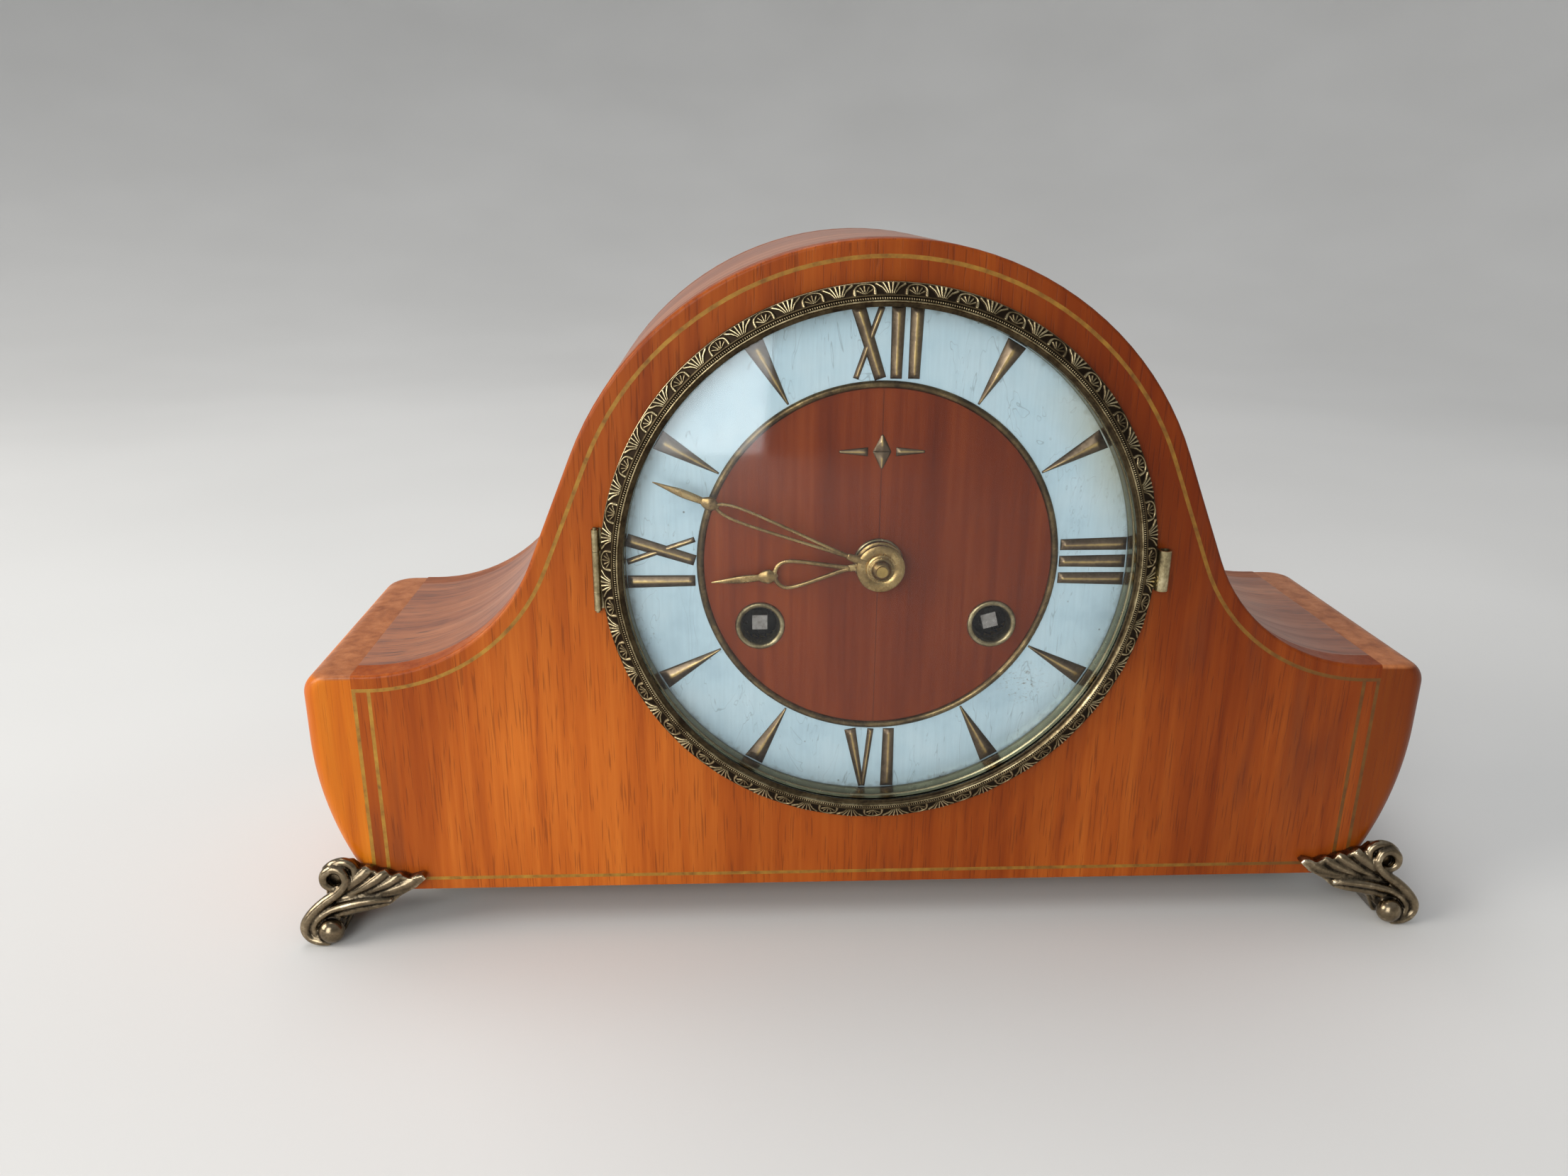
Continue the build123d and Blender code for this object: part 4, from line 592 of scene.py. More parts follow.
def fan_relief(u, v, depth):
    """Height, from 0 to 1, of the bezel's palmettes: u runs round from the middle of a large fan, and v from
    the outer edge inward, in mm."""
    pitch = 2 * math.pi * MEAN_R / FANS
    made = np.zeros_like(u)
    for k in (-2.5, -1.5, -0.5, 0.5, 1.5, 2.5):
        tip = 0.10 + 0.05 * k * k
        outward = 1.0 + 0.035 * k * k
        places = [
            (1.18 * k * outward, tip, 0.36), (0.86 * k, 0.42 * depth, 0.30),
            (0.58 * k, 0.70 * depth, 0.22), (0.42 * k, 0.90 * depth, 0.14),
        ]
        made = np.maximum(made, ridge(u, v, places, 1.0 - 0.02 * k * k))
    for shift in (-pitch, 0.0):
        w = u - pitch / 2 - shift
        arch = []
        for step in range(17):
            turn = math.pi * step / 16
            swell = abs(math.cos(turn)) ** 4
            curl = 0.55 * swell
            arch.append((
                -(3.15 - curl) * math.cos(turn), 0.90 * depth - 0.80 * depth * math.sin(turn) ** 0.8,
                0.20 + 0.26 * swell,
            ))
        made = np.maximum(made, ridge(w, v, arch, 0.85))
        for k in (-2, -1, 0, 1, 2):
            lean = 0.50 * k
            foot = (0.22 * k, 0.86 * depth, 0.16)
            reach = 1.95 - 0.12 * abs(k)
            tip = (foot[0] + reach * math.sin(lean), foot[1] - reach * math.cos(lean), 0.28)
            made = np.maximum(made, ridge(w, v, [foot, tip], 0.78))
    return made


def bezel_piece(name, section, steps, change, relief):
    """Turned piece that takes the place of the plain bezel ring."""
    points, faces = turned(section, steps, change)
    make_piece(name, points, faces, "bezel", "antique_brass", ["bezel_ring"], ORNAMENT, relief.ravel())


def bezel_band():
    """Sloping ornamented band of the bezel."""
    steps, rows = 80 * FANS, 28
    outer, inner = np.array(BAND_OUTER), np.array(BAND_INNER)
    depth = float(np.linalg.norm(inner - outer))
    across = (inner - outer) / depth
    upward = np.array([across[1], -across[0]])
    v = np.linspace(0, depth, rows)
    base = outer + v[:, None] * across - 0.30 * upward
    under = [inner - 0.9 * upward, outer - 0.9 * upward + 0.3 * across]
    section = np.vstack([base, under])

    angles = np.arange(steps) * 2 * math.pi / steps
    period = 2 * math.pi / FANS
    u = ((angles + period / 2) % period - period / 2) * MEAN_R
    grid_u, grid_v = np.meshgrid(u, v, indexing="ij")
    ornament = fan_relief(grid_u, grid_v, depth)
    rim = np.exp(-((grid_v - 0.05) / 0.12) ** 2) * 0.45
    height = np.maximum(ornament, rim)
    lift = np.zeros((steps, len(section), 2))
    lift[:, :rows] = (BAND_RELIEF * height)[..., None] * upward
    relief = np.zeros((steps, len(section)))
    relief[:, :rows] = height
    bezel_piece("bezel_band", section, steps, lift, relief)


def bezel_bead():
    """Milled bead inside the ornament."""
    steps = BEAD_TICKS * 6
    rows = 8
    turn = np.linspace(0, math.pi, rows)
    radius, height = BEAD_AT
    section = [(radius + BEAD_HALF * math.cos(t), height + BEAD_RISE * math.sin(t)) for t in turn]
    section += [(radius - BEAD_HALF, BEAD_FOOT), (radius + BEAD_HALF, BEAD_FOOT)]
    angles = np.arange(steps) * 2 * math.pi / steps
    tick = np.abs(np.cos(angles * BEAD_TICKS / 2)) ** 1.4
    crest = np.concatenate([np.sin(turn), [0, 0]])
    lift = np.zeros((steps, len(section), 2))
    lift[..., 1] = -BEAD_CUT * tick[:, None] * crest
    relief = (1 - tick)[:, None] * np.maximum(crest, 0.1)
    bezel_piece("bezel_bead", section, steps, lift, relief)


def bezel_body():
    """Smooth spun ring that carries the ornament and holds the glass."""
    steps = 720
    profile = [  # each place and how brightly it is rubbed
        (75.3, 0.7, 0.2), (75.52, 0.78, 0.3), (75.6, 1.0, 0.4), (75.6, 2.2, 0.4), (75.57, 2.42, 0.8),
        (75.45, 2.58, 0.9), (75.2, 2.6, 0.3), (74.6, 2.5, 0.1), (72.75, 3.3, 0.1), (72.6, 3.95, 0.3),
        (72.4, 4.06, 0.5), (72.1, 4.0, 0.4), (71.9, 3.7, 0.2), (71.3, 3.7, 0.2), (71.24, 4.42, 0.5),
        (71.18, 4.6, 0.7), (71.05, 4.69, 0.75), (70.9, 4.66, 0.75), (70.74, 4.5, 0.7), (70.6, 4.26, 0.6),
        (70.48, 4.12, 0.4), (70.2, 4.08, 0.28), (69.7, 4.04, 0.28), (69.55, 3.98, 0.4), (69.5, 3.85, 0.4),
        (69.5, 3.4, 0.2), (71.0, 3.4, 0.2), (71.0, 1.5, 0.2), (73.5, 0.7, 0.2),
    ]
    relief = np.tile([place[2] for place in profile], steps)
    bezel_piece("bezel_body", [place[:2] for place in profile], steps, 0.0, relief)


# ---- end caps

CAP_JOINT = 146.0             # the cap's inner side, across from the middle, in mm
CAP_HALF = 160.5              # its outer side
BULGE_R = 94.0                # the outer side is straight above BULGE_Z and bends in below it
BULGE_Z = 61.0
CAP_BOTTOM = 13.0
CAP_TOP = 81.1
CAP_CORNER = 6.5              # radius between the side and the top
CAP_EDGE = 5.0                # radius of the upright edges
CAP_EASE = 1.0                # radius between the front and the top
CAP_DEPTH = 88.0


def cap_level(height):
    """Outline of an end cap at a height: (x, distance behind the case front), from joint to joint."""
    below = max(BULGE_Z - height, 0.0)
    reach = CAP_HALF - BULGE_R + math.sqrt(BULGE_R**2 - below**2)
    over = height - (CAP_TOP - CAP_CORNER)
    if over > 0:
        reach = CAP_HALF - CAP_CORNER + math.sqrt(max(CAP_CORNER**2 - over**2, 0.0))
    ease = height - (CAP_TOP - CAP_EASE)
    inset = CAP_EASE - math.sqrt(max(CAP_EASE**2 - ease**2, 0.0)) if ease > 0 else 0.0
    radius = min(CAP_EDGE, 0.9 * (reach - CAP_JOINT))
    places = [(CAP_JOINT + t * (reach - radius - CAP_JOINT) / 5, inset) for t in range(5)]
    for step in range(15):
        turn = math.pi / 2 * step / 14
        places.append((reach - radius + radius * math.sin(turn), inset + radius - radius * math.cos(turn)))
    side = [(reach, radius + inset + t * (CAP_DEPTH / 2 - radius - inset) / 8) for t in range(1, 9)]
    half = places + side
    return half + [(x, CAP_DEPTH - depth) for x, depth in reversed(half[:-1])]


def end_caps():
    """Solid end blocks with broadly rounded upright edges."""
    heights = list(np.linspace(CAP_BOTTOM, BULGE_Z, 33))
    heights += list(np.linspace(BULGE_Z, CAP_TOP - CAP_CORNER, 6)[1:])
    for step in range(1, 25):
        heights.append(CAP_TOP - CAP_CORNER + CAP_CORNER * math.sin(math.pi / 2 * step / 24))
    levels = [cap_level(height) for height in heights]
    count = len(levels[0])
    points = [(x * MM, FRONT + depth * MM, z * MM) for z, level in zip(heights, levels) for x, depth in level]
    faces = grid_faces(len(levels), count, ring_columns=True)
    faces.append(tuple(range(count)))
    faces.append(tuple((len(levels) - 1) * count + i for i in range(count)))
    for side, word in ((-1, "left"), (1, "right")):
        placed = np.array(points) * (side, 1, 1)
        piece = make_piece(f"rounded_cap_{word}", placed, faces, "case", "end_wood", [f"end_cap_{word}"])
        piece.data.set_sharp_from_angle(angle=math.radians(40))


# ---- feet

# The front right casting in mm. Rolls: places across, up and before the case front, and the radius there.
VOLUTE = [
    (154.0, 17.7, 4.9, 0.8), (156.3, 16.9, 4.9, 1.05), (158.5, 18.4, 4.8, 1.25), (158.6, 21.0, 4.5, 1.4),
    (156.3, 22.9, 4.3, 1.5), (153.7, 22.3, 4.5, 1.4), (152.5, 19.8, 4.9, 1.25),
]
HOOD = [
    (158.6, 22.2, 3.4, 1.1), (156.0, 24.0, 3.3, 1.3), (152.8, 24.5, 3.2, 1.4), (150.5, 23.0, 3.3, 1.3),
    (150.3, 20.6, 3.7, 1.1), (151.8, 18.0, 4.1, 0.8),
]
SCROLL = [
    (152.4, 20.4, 4.8, 1.2), (152.8, 18.2, 5.1, 1.3), (155.0, 15.7, 5.3, 1.45), (158.8, 13.0, 5.7, 1.6),
    (162.2, 10.0, 6.3, 1.6), (164.5, 6.8, 7.0, 1.55), (164.7, 4.2, 7.4, 1.4), (163.1, 2.1, 7.8, 1.3),
    (160.5, 1.25, 8.2, 1.15), (157.8, 1.05, 8.4, 0.9),
]
INNER_SCROLL = [
    (140.6, 12.0, 3.6, 0.8), (144.5, 12.4, 4.4, 1.1), (149.0, 12.2, 5.0, 1.3), (153.4, 11.4, 5.4, 1.35),
    (157.6, 10.2, 5.9, 1.3), (160.6, 8.3, 6.5, 1.2), (162.3, 5.8, 7.1, 1.05), (161.9, 3.5, 7.6, 0.9),
    (160.4, 2.1, 8.0, 0.7),
]
LOWER_LEAF = [
    (141.4, 10.7, 3.2, 0.8), (145.5, 10.2, 3.8, 1.15), (150.0, 9.8, 4.2, 1.45), (154.2, 8.9, 4.7, 1.5),
    (157.4, 7.6, 5.2, 1.2),
]
MIDDLE_LEAF = [
    (156.0, 13.1, 4.7, 0.8), (150.0, 13.8, 4.1, 0.9), (144.0, 13.7, 3.6, 0.95), (138.6, 14.4, 3.0, 0.9),
    (133.0, 16.0, 2.2, 0.7),
]
FLUTES = [
    [(156.6, 13.8, 4.8, 0.6), (153.6, 16.0, 4.5, 1.15), (150.4, 18.6, 4.1, 1.65), (147.6, 20.8, 3.3, 1.85),
     (146.0, 22.0, 2.7, 1.5)],
    [(152.6, 14.1, 4.5, 0.6), (148.6, 16.2, 4.3, 1.1), (145.2, 18.2, 3.8, 1.5), (142.6, 19.8, 3.1, 1.55),
     (141.2, 20.7, 2.5, 1.2)],
    [(148.4, 14.3, 4.2, 0.55), (144.4, 15.9, 3.9, 1.0), (141.0, 17.4, 3.4, 1.35), (138.6, 18.8, 2.8, 1.35),
     (137.2, 19.6, 2.3, 1.0)],
    [(143.6, 14.4, 3.9, 0.55), (139.6, 15.3, 3.4, 1.0), (135.8, 16.7, 2.8, 1.4), (132.4, 18.4, 2.2, 1.3),
     (130.9, 19.2, 1.8, 0.9)],
]
FLUTE_SQUASH = 0.78
FOOT_OUTLINE = [
    (151.0, 24.2), (149.2, 22.4), (146.4, 22.4), (143.8, 21.0), (141.4, 20.7), (139.4, 19.5), (137.2, 19.7),
    (135.0, 18.6), (131.0, 19.7), (130.0, 18.4), (133.0, 15.6), (137.6, 13.0), (140.6, 10.3), (147.6, 9.1),
    (152.7, 8.2), (154.6, 5.0), (156.0, 2.0), (160.5, 0.9), (164.4, 4.4), (163.2, 9.2), (159.2, 13.2),
    (159.0, 18.0), (158.2, 22.2), (155.0, 24.2),
]
BALL_BACKING = [
    (157.5, 10.0), (162.6, 8.6), (164.0, 4.6), (161.5, 1.2), (156.5, 1.2), (154.4, 4.6), (155.2, 8.2),
]
LEG_OUTLINE = [
    (140.0, 12.9), (147.0, 12.9), (160.5, 9.5), (160.5, 0.4), (155.6, 0.4), (153.2, 5.4), (148.6, 9.4),
]
FLANGE_OUTLINE = [(120.2, 12.9), (146.0, 12.9), (146.0, 10.7), (120.2, 10.7)]
# Plates: an outline across and up, and how far before the case front its back and its front lie.
PLATES = [
    (FOOT_OUTLINE, 0.2, 3.3), (BALL_BACKING, 0.2, 6.3), (LEG_OUTLINE, -14.8, 2.0),
    (FLANGE_OUTLINE, -24.8, -5.2),
]
BALL_AT = (157.4, 4.2, 7.2)
BALL_R = (3.7, 3.2, 3.7)
CAST_VOXEL = 0.3
FOOT_GROUND = 0.02            # height of the castings' lowest point


def slab(outline, back, front):
    """Closed plate of an (x, z) outline between two distances before the case front."""
    count = len(outline)
    points = [(x, -front, z) for x, z in outline] + [(x, -back, z) for x, z in outline]
    faces = [tuple(range(count)), tuple(range(2 * count - 1, count - 1, -1))]
    for i in range(count):
        j = (i + 1) % count
        faces.append((i, i + count, j + count, j))
    return points, faces


def ball(centre, radii):
    """Closed ball at a place, from radii along X, Y and Z."""
    work = bmesh.new()
    bmesh.ops.create_uvsphere(work, u_segments=32, v_segments=16, radius=1.0)
    points = [tuple(c + r * v for c, r, v in zip(centre, radii, vertex.co)) for vertex in work.verts]
    faces = [tuple(vertex.index for vertex in face.verts) for face in work.faces]
    work.free()
    return points, faces


def cast_shape(clay, voxel, passes):
    """One skin over gathered closed pieces, as a casting has, in the pieces' own units."""
    mesh = bpy.data.meshes.new("casting")
    mesh.from_pydata(clay.points, [], clay.faces)
    rough = add_object("casting", mesh)
    remesh = rough.modifiers.new("skin", "REMESH")
    remesh.mode = "VOXEL"
    remesh.voxel_size = voxel
    soften = rough.modifiers.new("soften", "SMOOTH")
    soften.factor = 0.5
    soften.iterations = passes
    bpy.context.view_layer.update()
    skin = bpy.data.meshes.new_from_object(rough.evaluated_get(bpy.context.evaluated_depsgraph_get()))
    points = np.empty(len(skin.vertices) * 3)
    skin.vertices.foreach_get("co", points)
    faces = [tuple(polygon.vertices) for polygon in skin.polygons]
    bpy.data.objects.remove(rough)
    bpy.data.meshes.remove(mesh)
    bpy.data.meshes.remove(skin)
    return points.reshape(-1, 3), faces


def hollow_and_ridge(points, faces):
    """How far each point of a skin stands out from its neighbourhood, from 0 to 1."""
    edges = set()
    for face in faces:
        for first, second in zip(face, face[1:] + face[:1]):
            edges.add((min(first, second), max(first, second)))
    edges = np.array(sorted(edges))
    count = np.zeros(len(points))
    np.add.at(count, edges[:, 0], 1)
    np.add.at(count, edges[:, 1], 1)
    even = points.copy()
    for _ in range(26):
        total = np.zeros_like(even)
        np.add.at(total, edges[:, 0], even[edges[:, 1]])
        np.add.at(total, edges[:, 1], even[edges[:, 0]])
        even = 0.5 * even + 0.5 * total / count[:, None]
    normal = np.zeros_like(points)
    for face in faces:
        corner = points[list(face)]
        normal[list(face)] += np.cross(corner[2] - corner[0], corner[-1] - corner[1])
    normal /= np.maximum(np.linalg.norm(normal, axis=1), 1e-9)[:, None]
    stand = np.einsum("ij,ij->i", points - even, normal)
    return np.clip(0.42 + stand * 1.25, 0, 1)


def scroll_feet():
    """Cast leaf and scroll feet, one shape mirrored to the four corners."""
    clay = Clay()
    rolls = [(places, 14, 1.0) for places in (VOLUTE, HOOD, SCROLL, INNER_SCROLL, LOWER_LEAF, MIDDLE_LEAF)]
    rolls += [(places, 18, FLUTE_SQUASH) for places in FLUTES]
    for places, sides, squash in rolls:
        clay.add(*tube([(x, -front, z, r) for x, z, front, r in places], 8, sides, squash))
    clay.add(*ball((BALL_AT[0], -BALL_AT[2], BALL_AT[1]), BALL_R))
    for outline, back, front in PLATES:
        clay.add(*slab(outline, back, front))
    points, faces = cast_shape(clay, CAST_VOXEL, 3)
    points[:, 2] += FOOT_GROUND - points[:, 2].min()
    relief = hollow_and_ridge(points, faces)
    for side, side_word in ((-1, "left"), (1, "right")):
        for end, end_word in ((1, "front"), (-1, "rear")):
            placed = points * MM
            placed[:, 1] += FRONT
            placed *= (side, end, 1)
            name = f"cast_foot_{end_word}_{side_word}"
            node = f"foot_{end_word}_{side_word}"
            make_piece(name, placed, faces, "case", "antique_brass", [node], CASTING, relief)


# ---- numerals

NUMERAL_FLOOR = -3.8 + 0.02   # dial surface, as a height before the case front
NUMERAL_RISE = 0.95
NUMERAL_EDGE = 0.12           # height of a bar's upright edge
BAR_OUTER = 68.9
BAR_INNER = 50.4


def bevelled_bar(clay, start, end, start_w, end_w, rise=NUMERAL_RISE, rows=44, columns=9):
    """Hipped bar between two places on the dial, with a ridge along its middle and an uneven cast face."""
    start, end = np.array(start, float), np.array(end, float)
    length = float(np.linalg.norm(end - start))
    along = (end - start) / length
    side = np.array([along[1], -along[0]])
    points, relief = [], []
    for i in range(rows):
        t = i / (rows - 1)
        width = start_w + t * (end_w - start_w)
        hip = min(1.0, t * length / (0.35 * start_w + 0.1), (1 - t) * length / (0.35 * end_w + 0.1))
        for j in range(columns):
            s = 2 * j / (columns - 1) - 1
            place = start + along * length * t + side * s * width / 2
            ridge_h = (1 - abs(s)) ** 0.8 * hip
            uneven = noise.noise(Vector((place[0] * 1.6, place[1] * 1.6, 3.1))) * 0.10 * ridge_h
            height = NUMERAL_EDGE + (rise - NUMERAL_EDGE) * ridge_h * min(1.0, width / 2.2) + uneven
            y = FRONT - MM * (NUMERAL_FLOOR + height)
            points.append((DIAL.x + MM * place[0], y, DIAL.z + MM * place[1]))
            relief.append(0.40 + 0.60 * ridge_h**3 if s <= 0 else 0.24 + 0.66 * ridge_h**4)
    faces = grid_faces(rows, columns)
    foot = len(points)
    grid = np.arange(foot).reshape(rows, columns)
    rim = [*grid[0, :-1], *grid[:-1, -1], *grid[-1, :0:-1], *grid[:0:-1, 0]]
    for index in rim:
        x, _, z = points[index]
        points.append((x, FRONT - MM * NUMERAL_FLOOR, z))
        relief.append(0.0)
    count = len(rim)
    for i in range(count):
        j = (i + 1) % count
        faces.append((rim[i], rim[j], foot + j, foot + i))
    faces.append(tuple(foot + i for i in range(count)))
    clay.add(points, faces, relief)


def make_numeral_piece(name, clay, stands_for):
    make_piece(name, clay.points, clay.faces, "case", "numeral_bronze", stands_for, relief=clay.relief)


def dial_numerals():
    """Raised hour marks: numerals at the quarters, wedges between."""
    clay = Clay()
    for bar in (
        ((3.1, BAR_OUTER), (3.0, BAR_INNER), 3.6, 0.84 * 3.6),
        ((8.0, BAR_OUTER), (7.7, BAR_INNER), 3.6, 0.84 * 3.6),
        ((-7.4, BAR_OUTER), (-1.1, BAR_INNER), 3.7, 3.1),
        ((-1.2, BAR_OUTER), (-7.6, BAR_INNER), 1.7, 1.5, 0.8),
        ((BAR_OUTER, -5.1), (BAR_INNER, -5.1 * 0.94), 3.7, 3.1),
        ((BAR_OUTER, 0.0), (BAR_INNER, 0.0), 3.7, 3.1),
        ((BAR_OUTER, 5.1), (BAR_INNER, 5.1 * 0.94), 3.7, 3.1),
        ((-BAR_OUTER, 6.9), (-BAR_INNER, 0.9), 3.6, 3.0),
        ((-BAR_OUTER, 0.6), (-BAR_INNER, 6.9), 1.7, 1.5, 0.8),
        ((-BAR_OUTER, -5.1), (-BAR_INNER, -4.9), 3.6, 3.1),
        ((-6.6, -BAR_INNER), (-2.9, -BAR_OUTER), 3.3, 1.6),
        ((-0.6, -BAR_INNER), (-2.5, -BAR_OUTER), 1.8, 1.3, 0.8),
        ((4.6, -BAR_INNER), (4.6, -BAR_OUTER), 3.2, 3.7),
    ):
        bevelled_bar(clay, *bar)
    for hour in (1, 2, 4, 5, 7, 8, 10, 11):
        angle = math.radians(30 * hour)
        way = np.array([math.sin(angle), math.cos(angle)])
        bevelled_bar(clay, way * BAR_OUTER, way * BAR_INNER, 5.6, 0.5, 1.1)
    make_numeral_piece("numerals", clay, ["dial_numerals"])


def dial_ornament():
    """Small lozenge between two tapered bars, above the centre of the dial."""
    clay = Clay()
    z = 31.0
    bevelled_bar(clay, (0.0, z - 4.6), (0.0, z), 0.5, 5.0, 0.5, 16, 9)
    bevelled_bar(clay, (0.0, z), (0.0, z + 4.6), 5.0, 0.5, 0.5, 16, 9)
    for side in (-1, 1):
        bevelled_bar(clay, (side * 3.8, z), (side * 11.5, z), 2.4, 0.7, 0.5, 24, 7)
    make_numeral_piece("dial_lozenge", clay, ())


# ---- hands

HUB_R = 6.6
HAND_THICK = 0.8

# Outline of a hand's loop: the way along it and its half width, both as shares.
LOOP_WAY = [0.0, 0.08, 0.16, 0.26, 0.36, 0.46, 0.56, 0.66, 0.75, 0.83, 0.89, 0.94, 0.975, 1.0]
LOOP_BOW = [0.05, 0.12, 0.22, 0.36, 0.50, 0.64, 0.78, 0.90, 0.98, 1.0, 0.93, 0.74, 0.46, 0.10]


def hand_places(angle, height, places):
    """Places along a hand in metres, from its distance to the arbor, offset to its left and radius in mm."""
    sin, cos = math.sin(angle), math.cos(angle)
    made = []
    for along, aside, radius in places:
        x = along * sin - aside * cos
        z = along * cos + aside * sin
        made.append((DIAL.x + MM * x, FRONT - MM * height, DIAL.z + MM * z, MM * radius))
    return made


def hub_section(low, high, outer, inner):
    """Section of a flat hub with eased edges and a shallow turned step."""
    ease = 0.15
    return [
        (inner, low), (outer - ease, low), (outer, low + ease), (outer, high - ease), (outer - ease, high),
        (0.62 * outer, high), (0.60 * outer, high - 0.12), (0.56 * outer, high - 0.12), (0.54 * outer, high),
        (inner, high),
    ]


def pierced_hand(node, loop, boss, tip, bore):
    """Brass hand with a pierced loop, in place of a plain CAD hand, at its angle and height. The loop is
    (start, end, half width, wire radius), the boss (place, radius), and the tip the hand's length."""
    angle = hand_bearing(node)
    low = before_front(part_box(node)[1].y)
    middle = low + HAND_THICK / 2
    start, end, half, thick = loop
    place, radius = boss
    clay = Clay()

    def add_tube(places, steps, sides, squash):
        clay.add(*tube(hand_places(angle, middle, places), steps, sides, squash))

    clay.add(*turned(hub_section(low, low + HAND_THICK, HUB_R, bore), 120))
    add_tube([(4.5, 0, 1.25), (0.5 * (HUB_R + start), 0, 1.1), (start + 0.8, 0, 0.9)], 6, 14, 0.42)
    for side in (-1, 1):
        wire = []
        for t, bow in zip(LOOP_WAY, LOOP_BOW):
            wire.append((start + t * (end - start), side * half * bow, thick * (1.0 - 0.15 * bow)))
        add_tube(wire, 4, 12, 0.66)
    knob = [
        (place - 1.25 * radius, 0, 0.55), (place - 0.7 * radius, 0, 0.78 * radius), (place, 0, radius),
        (place + 0.7 * radius, 0, 0.78 * radius), (place + 1.2 * radius, 0, 0.95),
    ]
    add_tube(knob, 6, 20, 0.42)
    blade = [
        (place + 0.9 * radius, 0, 0.95), (0.55 * place + 0.45 * tip, 0, 1.15),
        (0.25 * place + 0.75 * tip, 0, 0.62), (tip - 0.4, 0, 0.16),
    ]
    add_tube(blade, 8, 12, 0.40)
    make_piece(f"pierced_{node}", clay.points, clay.faces, node, "hand_brass", [node])


def hands():
    """The two hands, each of which is also a body."""
    pierced_hand("hour_hand", (8.2, 28.9, 3.75, 0.66), (30.7, 2.1), 46.6, 3.0)
    pierced_hand("minute_hand", (9.0, 47.9, 1.80, 0.52), (49.6, 1.9), 66.0, 1.9)


def before_front(y):
    """Distance before the case front in mm."""
    return (FRONT - y) / MM


def hand_bearing(node):
    """Clockwise angle from 12 o'clock of the far end of a hand."""
    places = [vertex.co for vertex in frame["nodes"][node].data.vertices]
    far = max(places, key=lambda co: math.hypot(co.x - DIAL.x, co.z - DIAL.z))
    return math.atan2(far.x - DIAL.x, far.z - DIAL.z)


NUT_TICKS = 48
NUT_CUT = 0.09                # depth of the milling in mm


def hand_nut():
    """Domed nut with a milled foot that holds the minute hand."""
    front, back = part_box("hand_nut")
    low, high = before_front(back.y), before_front(front.y)
    bore = 1.5
    section = [
        (bore, low), (3.3, low), (3.5, low + 0.12), (3.5, low + 0.72), (3.3, low + 0.84), (2.72, low + 0.88),
        (2.66, low + 1.12), (2.52, low + 1.48), (2.28, low + 1.88), (1.94, high - 0.20),
        (1.66, high), (bore, high),
    ]
    steps = 5 * NUT_TICKS
    angles = np.arange(steps) * 2 * math.pi / steps
    lift = np.zeros((steps, len(section), 2))
    lift[:, 2:4, 0] = NUT_CUT * (np.cos(angles * NUT_TICKS) - 1)[:, None]
    points, faces = turned(section, steps, lift)
    make_piece("milled_hand_nut", points, faces, "minute_hand", "hand_brass", ["hand_nut"])


# Sections of the dial's collars: radius and height before the case front, in mm.
COLLAR = [
    (6.93, -3.79), (6.88, -3.42), (6.62, -3.10), (6.20, -3.01), (5.78, -3.12), (5.50, -3.38), (5.40, -3.90),
    (5.26, -4.90), (5.04, -5.90), (4.76, -6.80), (4.95, -6.95), (5.40, -5.95), (5.85, -4.60), (5.95, -3.79),
]
HUB_COLLAR = [
    (6.88, -3.79), (6.82, -3.50), (6.58, -3.27), (6.32, -3.22), (6.02, -3.28), (5.82, -3.50), (5.76, -3.90),
    (5.76, -4.70), (6.30, -4.70), (6.30, -3.79),
]


def dial_collars():
    """Collars of the two winding holes, each with its funnel, and of the centre hole."""
    clay = Clay()
    for joint in ("time_winding", "strike_winding"):
        points, faces = turned(COLLAR, 144)
        away = JOINT_AT[joint] - JOINT_AT["hand_setting"]
        clay.add(points + np.array([away.x, 0.0, away.z]), faces)
    clay.add(*turned(HUB_COLLAR, 144))
    make_piece("dial_collars", clay.points, clay.faces, "case", "antique_brass", ["dial_eyelets"], EYELET)


# ---- carried-over nodes

def dress_nodes():
    """Each carried-over CAD node gets the look of its material slot, or one of its own."""
    for part in frame["record"]["subparts"]:
        mesh = frame["nodes"][part["node"]].data
        mesh.materials.clear()
        mesh.materials.append(LOOKS[part["material_slot"]])
    for node in ("time_arbor", "strike_arbor"):
        frame["nodes"][node].data.materials[0] = ARBOR_STEEL
    frame["nodes"]["back_panel"].data.materials[0] = BACK_WOOD
    frame["nodes"]["dial_pan"].data.materials[0] = PAN_BRASS
    for node in ("bezel_hinge", "bezel_knuckle", "bezel_tab"):
        frame["nodes"][node].data.materials[0] = EYELET


# ---- floor and light

FLOOR_FLAT = 1.1              # radius of the floor's flat middle, in metres
FLOOR_BEND = 2.0              # radius at which it then rises


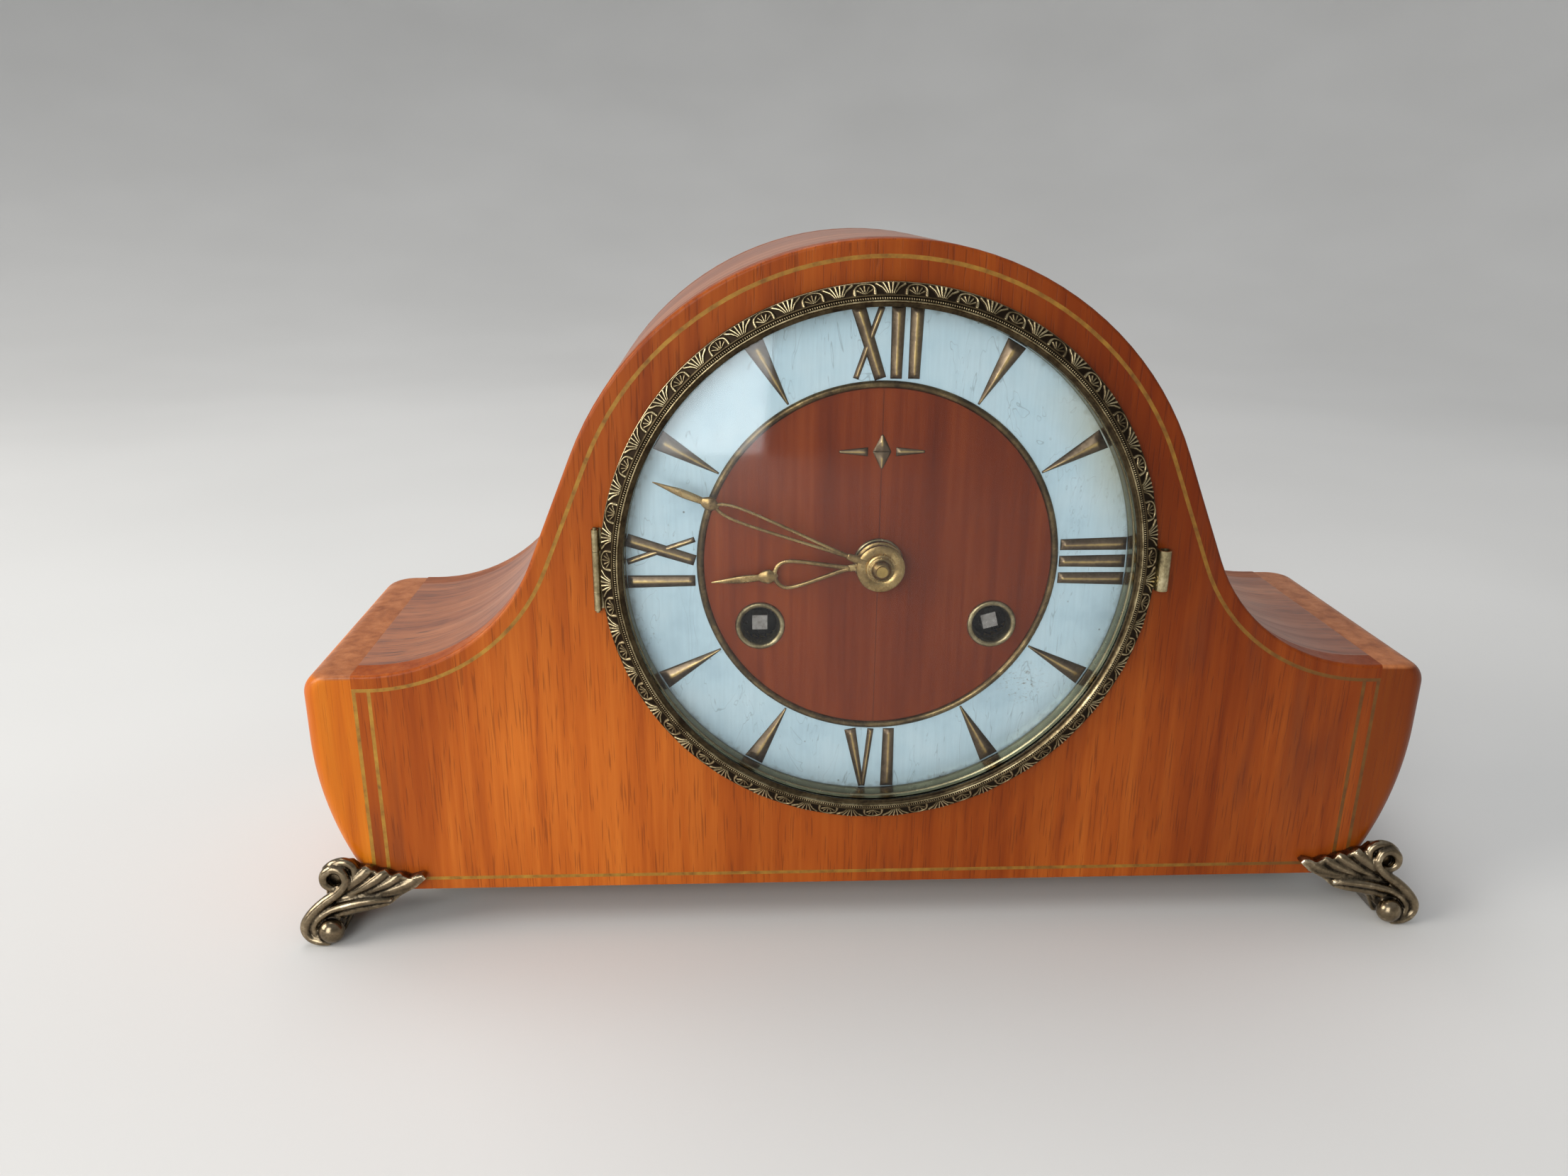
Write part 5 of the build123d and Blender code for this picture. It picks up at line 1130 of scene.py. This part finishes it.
def make_floor():
    """Pale sheet, flat under the clock and rising far away all round."""
    profile = [(0.6, 0.0)]
    for turn in np.linspace(0, math.pi / 2, 33):
        profile.append((FLOOR_FLAT + FLOOR_BEND * math.sin(turn), FLOOR_BEND * (1 - math.cos(turn))))
    steps = 96
    points = []
    for radius, height in profile:
        for step in range(steps):
            turn = 2 * math.pi * step / steps
            points.append((radius * math.cos(turn), radius * math.sin(turn), height))
    faces = [face[::-1] for face in grid_faces(len(profile), steps, ring_columns=True)]
    faces.append(tuple(range(steps)))
    mesh = bpy.data.meshes.new("floor")
    mesh.from_pydata(points, [], faces)
    mesh.shade_smooth()
    mesh.materials.append(floor_paper())
    add_object("floor", mesh)


def area_light(name, place, target, width, height, power, colour):
    """Rectangular light at a place, turned to a target."""
    data = bpy.data.lights.new(name, "AREA")
    data.shape = "RECTANGLE"
    data.size = width
    data.size_y = height
    data.energy = power
    data.color = colour
    light = add_object(name, data)
    light.location = place
    light.rotation_mode = "QUATERNION"
    light.rotation_quaternion = (Vector(target) - Vector(place)).to_track_quat("-Z", "Y")


def make_light():
    """Even studio light from the world, with a large window at the left front, one at the side, one above."""
    world = bpy.data.worlds.new("studio")
    world.use_nodes = True
    background = world.node_tree.nodes["Background"]
    background.inputs["Color"].default_value = (0.80, 0.84, 0.90, 1.0)
    background.inputs["Strength"].default_value = 0.5
    bpy.context.scene.world = world
    bpy.context.scene.view_settings.view_transform = "Standard"
    area_light("window", (-0.62, -1.45, 0.62), (0, 0, 0.11), 0.80, 1.10, 17.0, (0.95, 0.98, 1.0))
    area_light("side_window", (-1.5, -0.35, 0.8), (0, 0, 0.08), 0.9, 0.9, 20.0, (1.0, 0.98, 0.95))
    area_light("overhead", (-0.3, 0.5, 1.6), (0, 0, 0.1), 1.0, 1.0, 11.0, (0.97, 0.98, 1.0))


make_camera()
make_floor()
make_light()
dress_nodes()
end_caps()
bezel_body()
bezel_band()
bezel_bead()
scroll_feet()
dial_numerals()
dial_ornament()
hands()
hand_nut()
dial_collars()
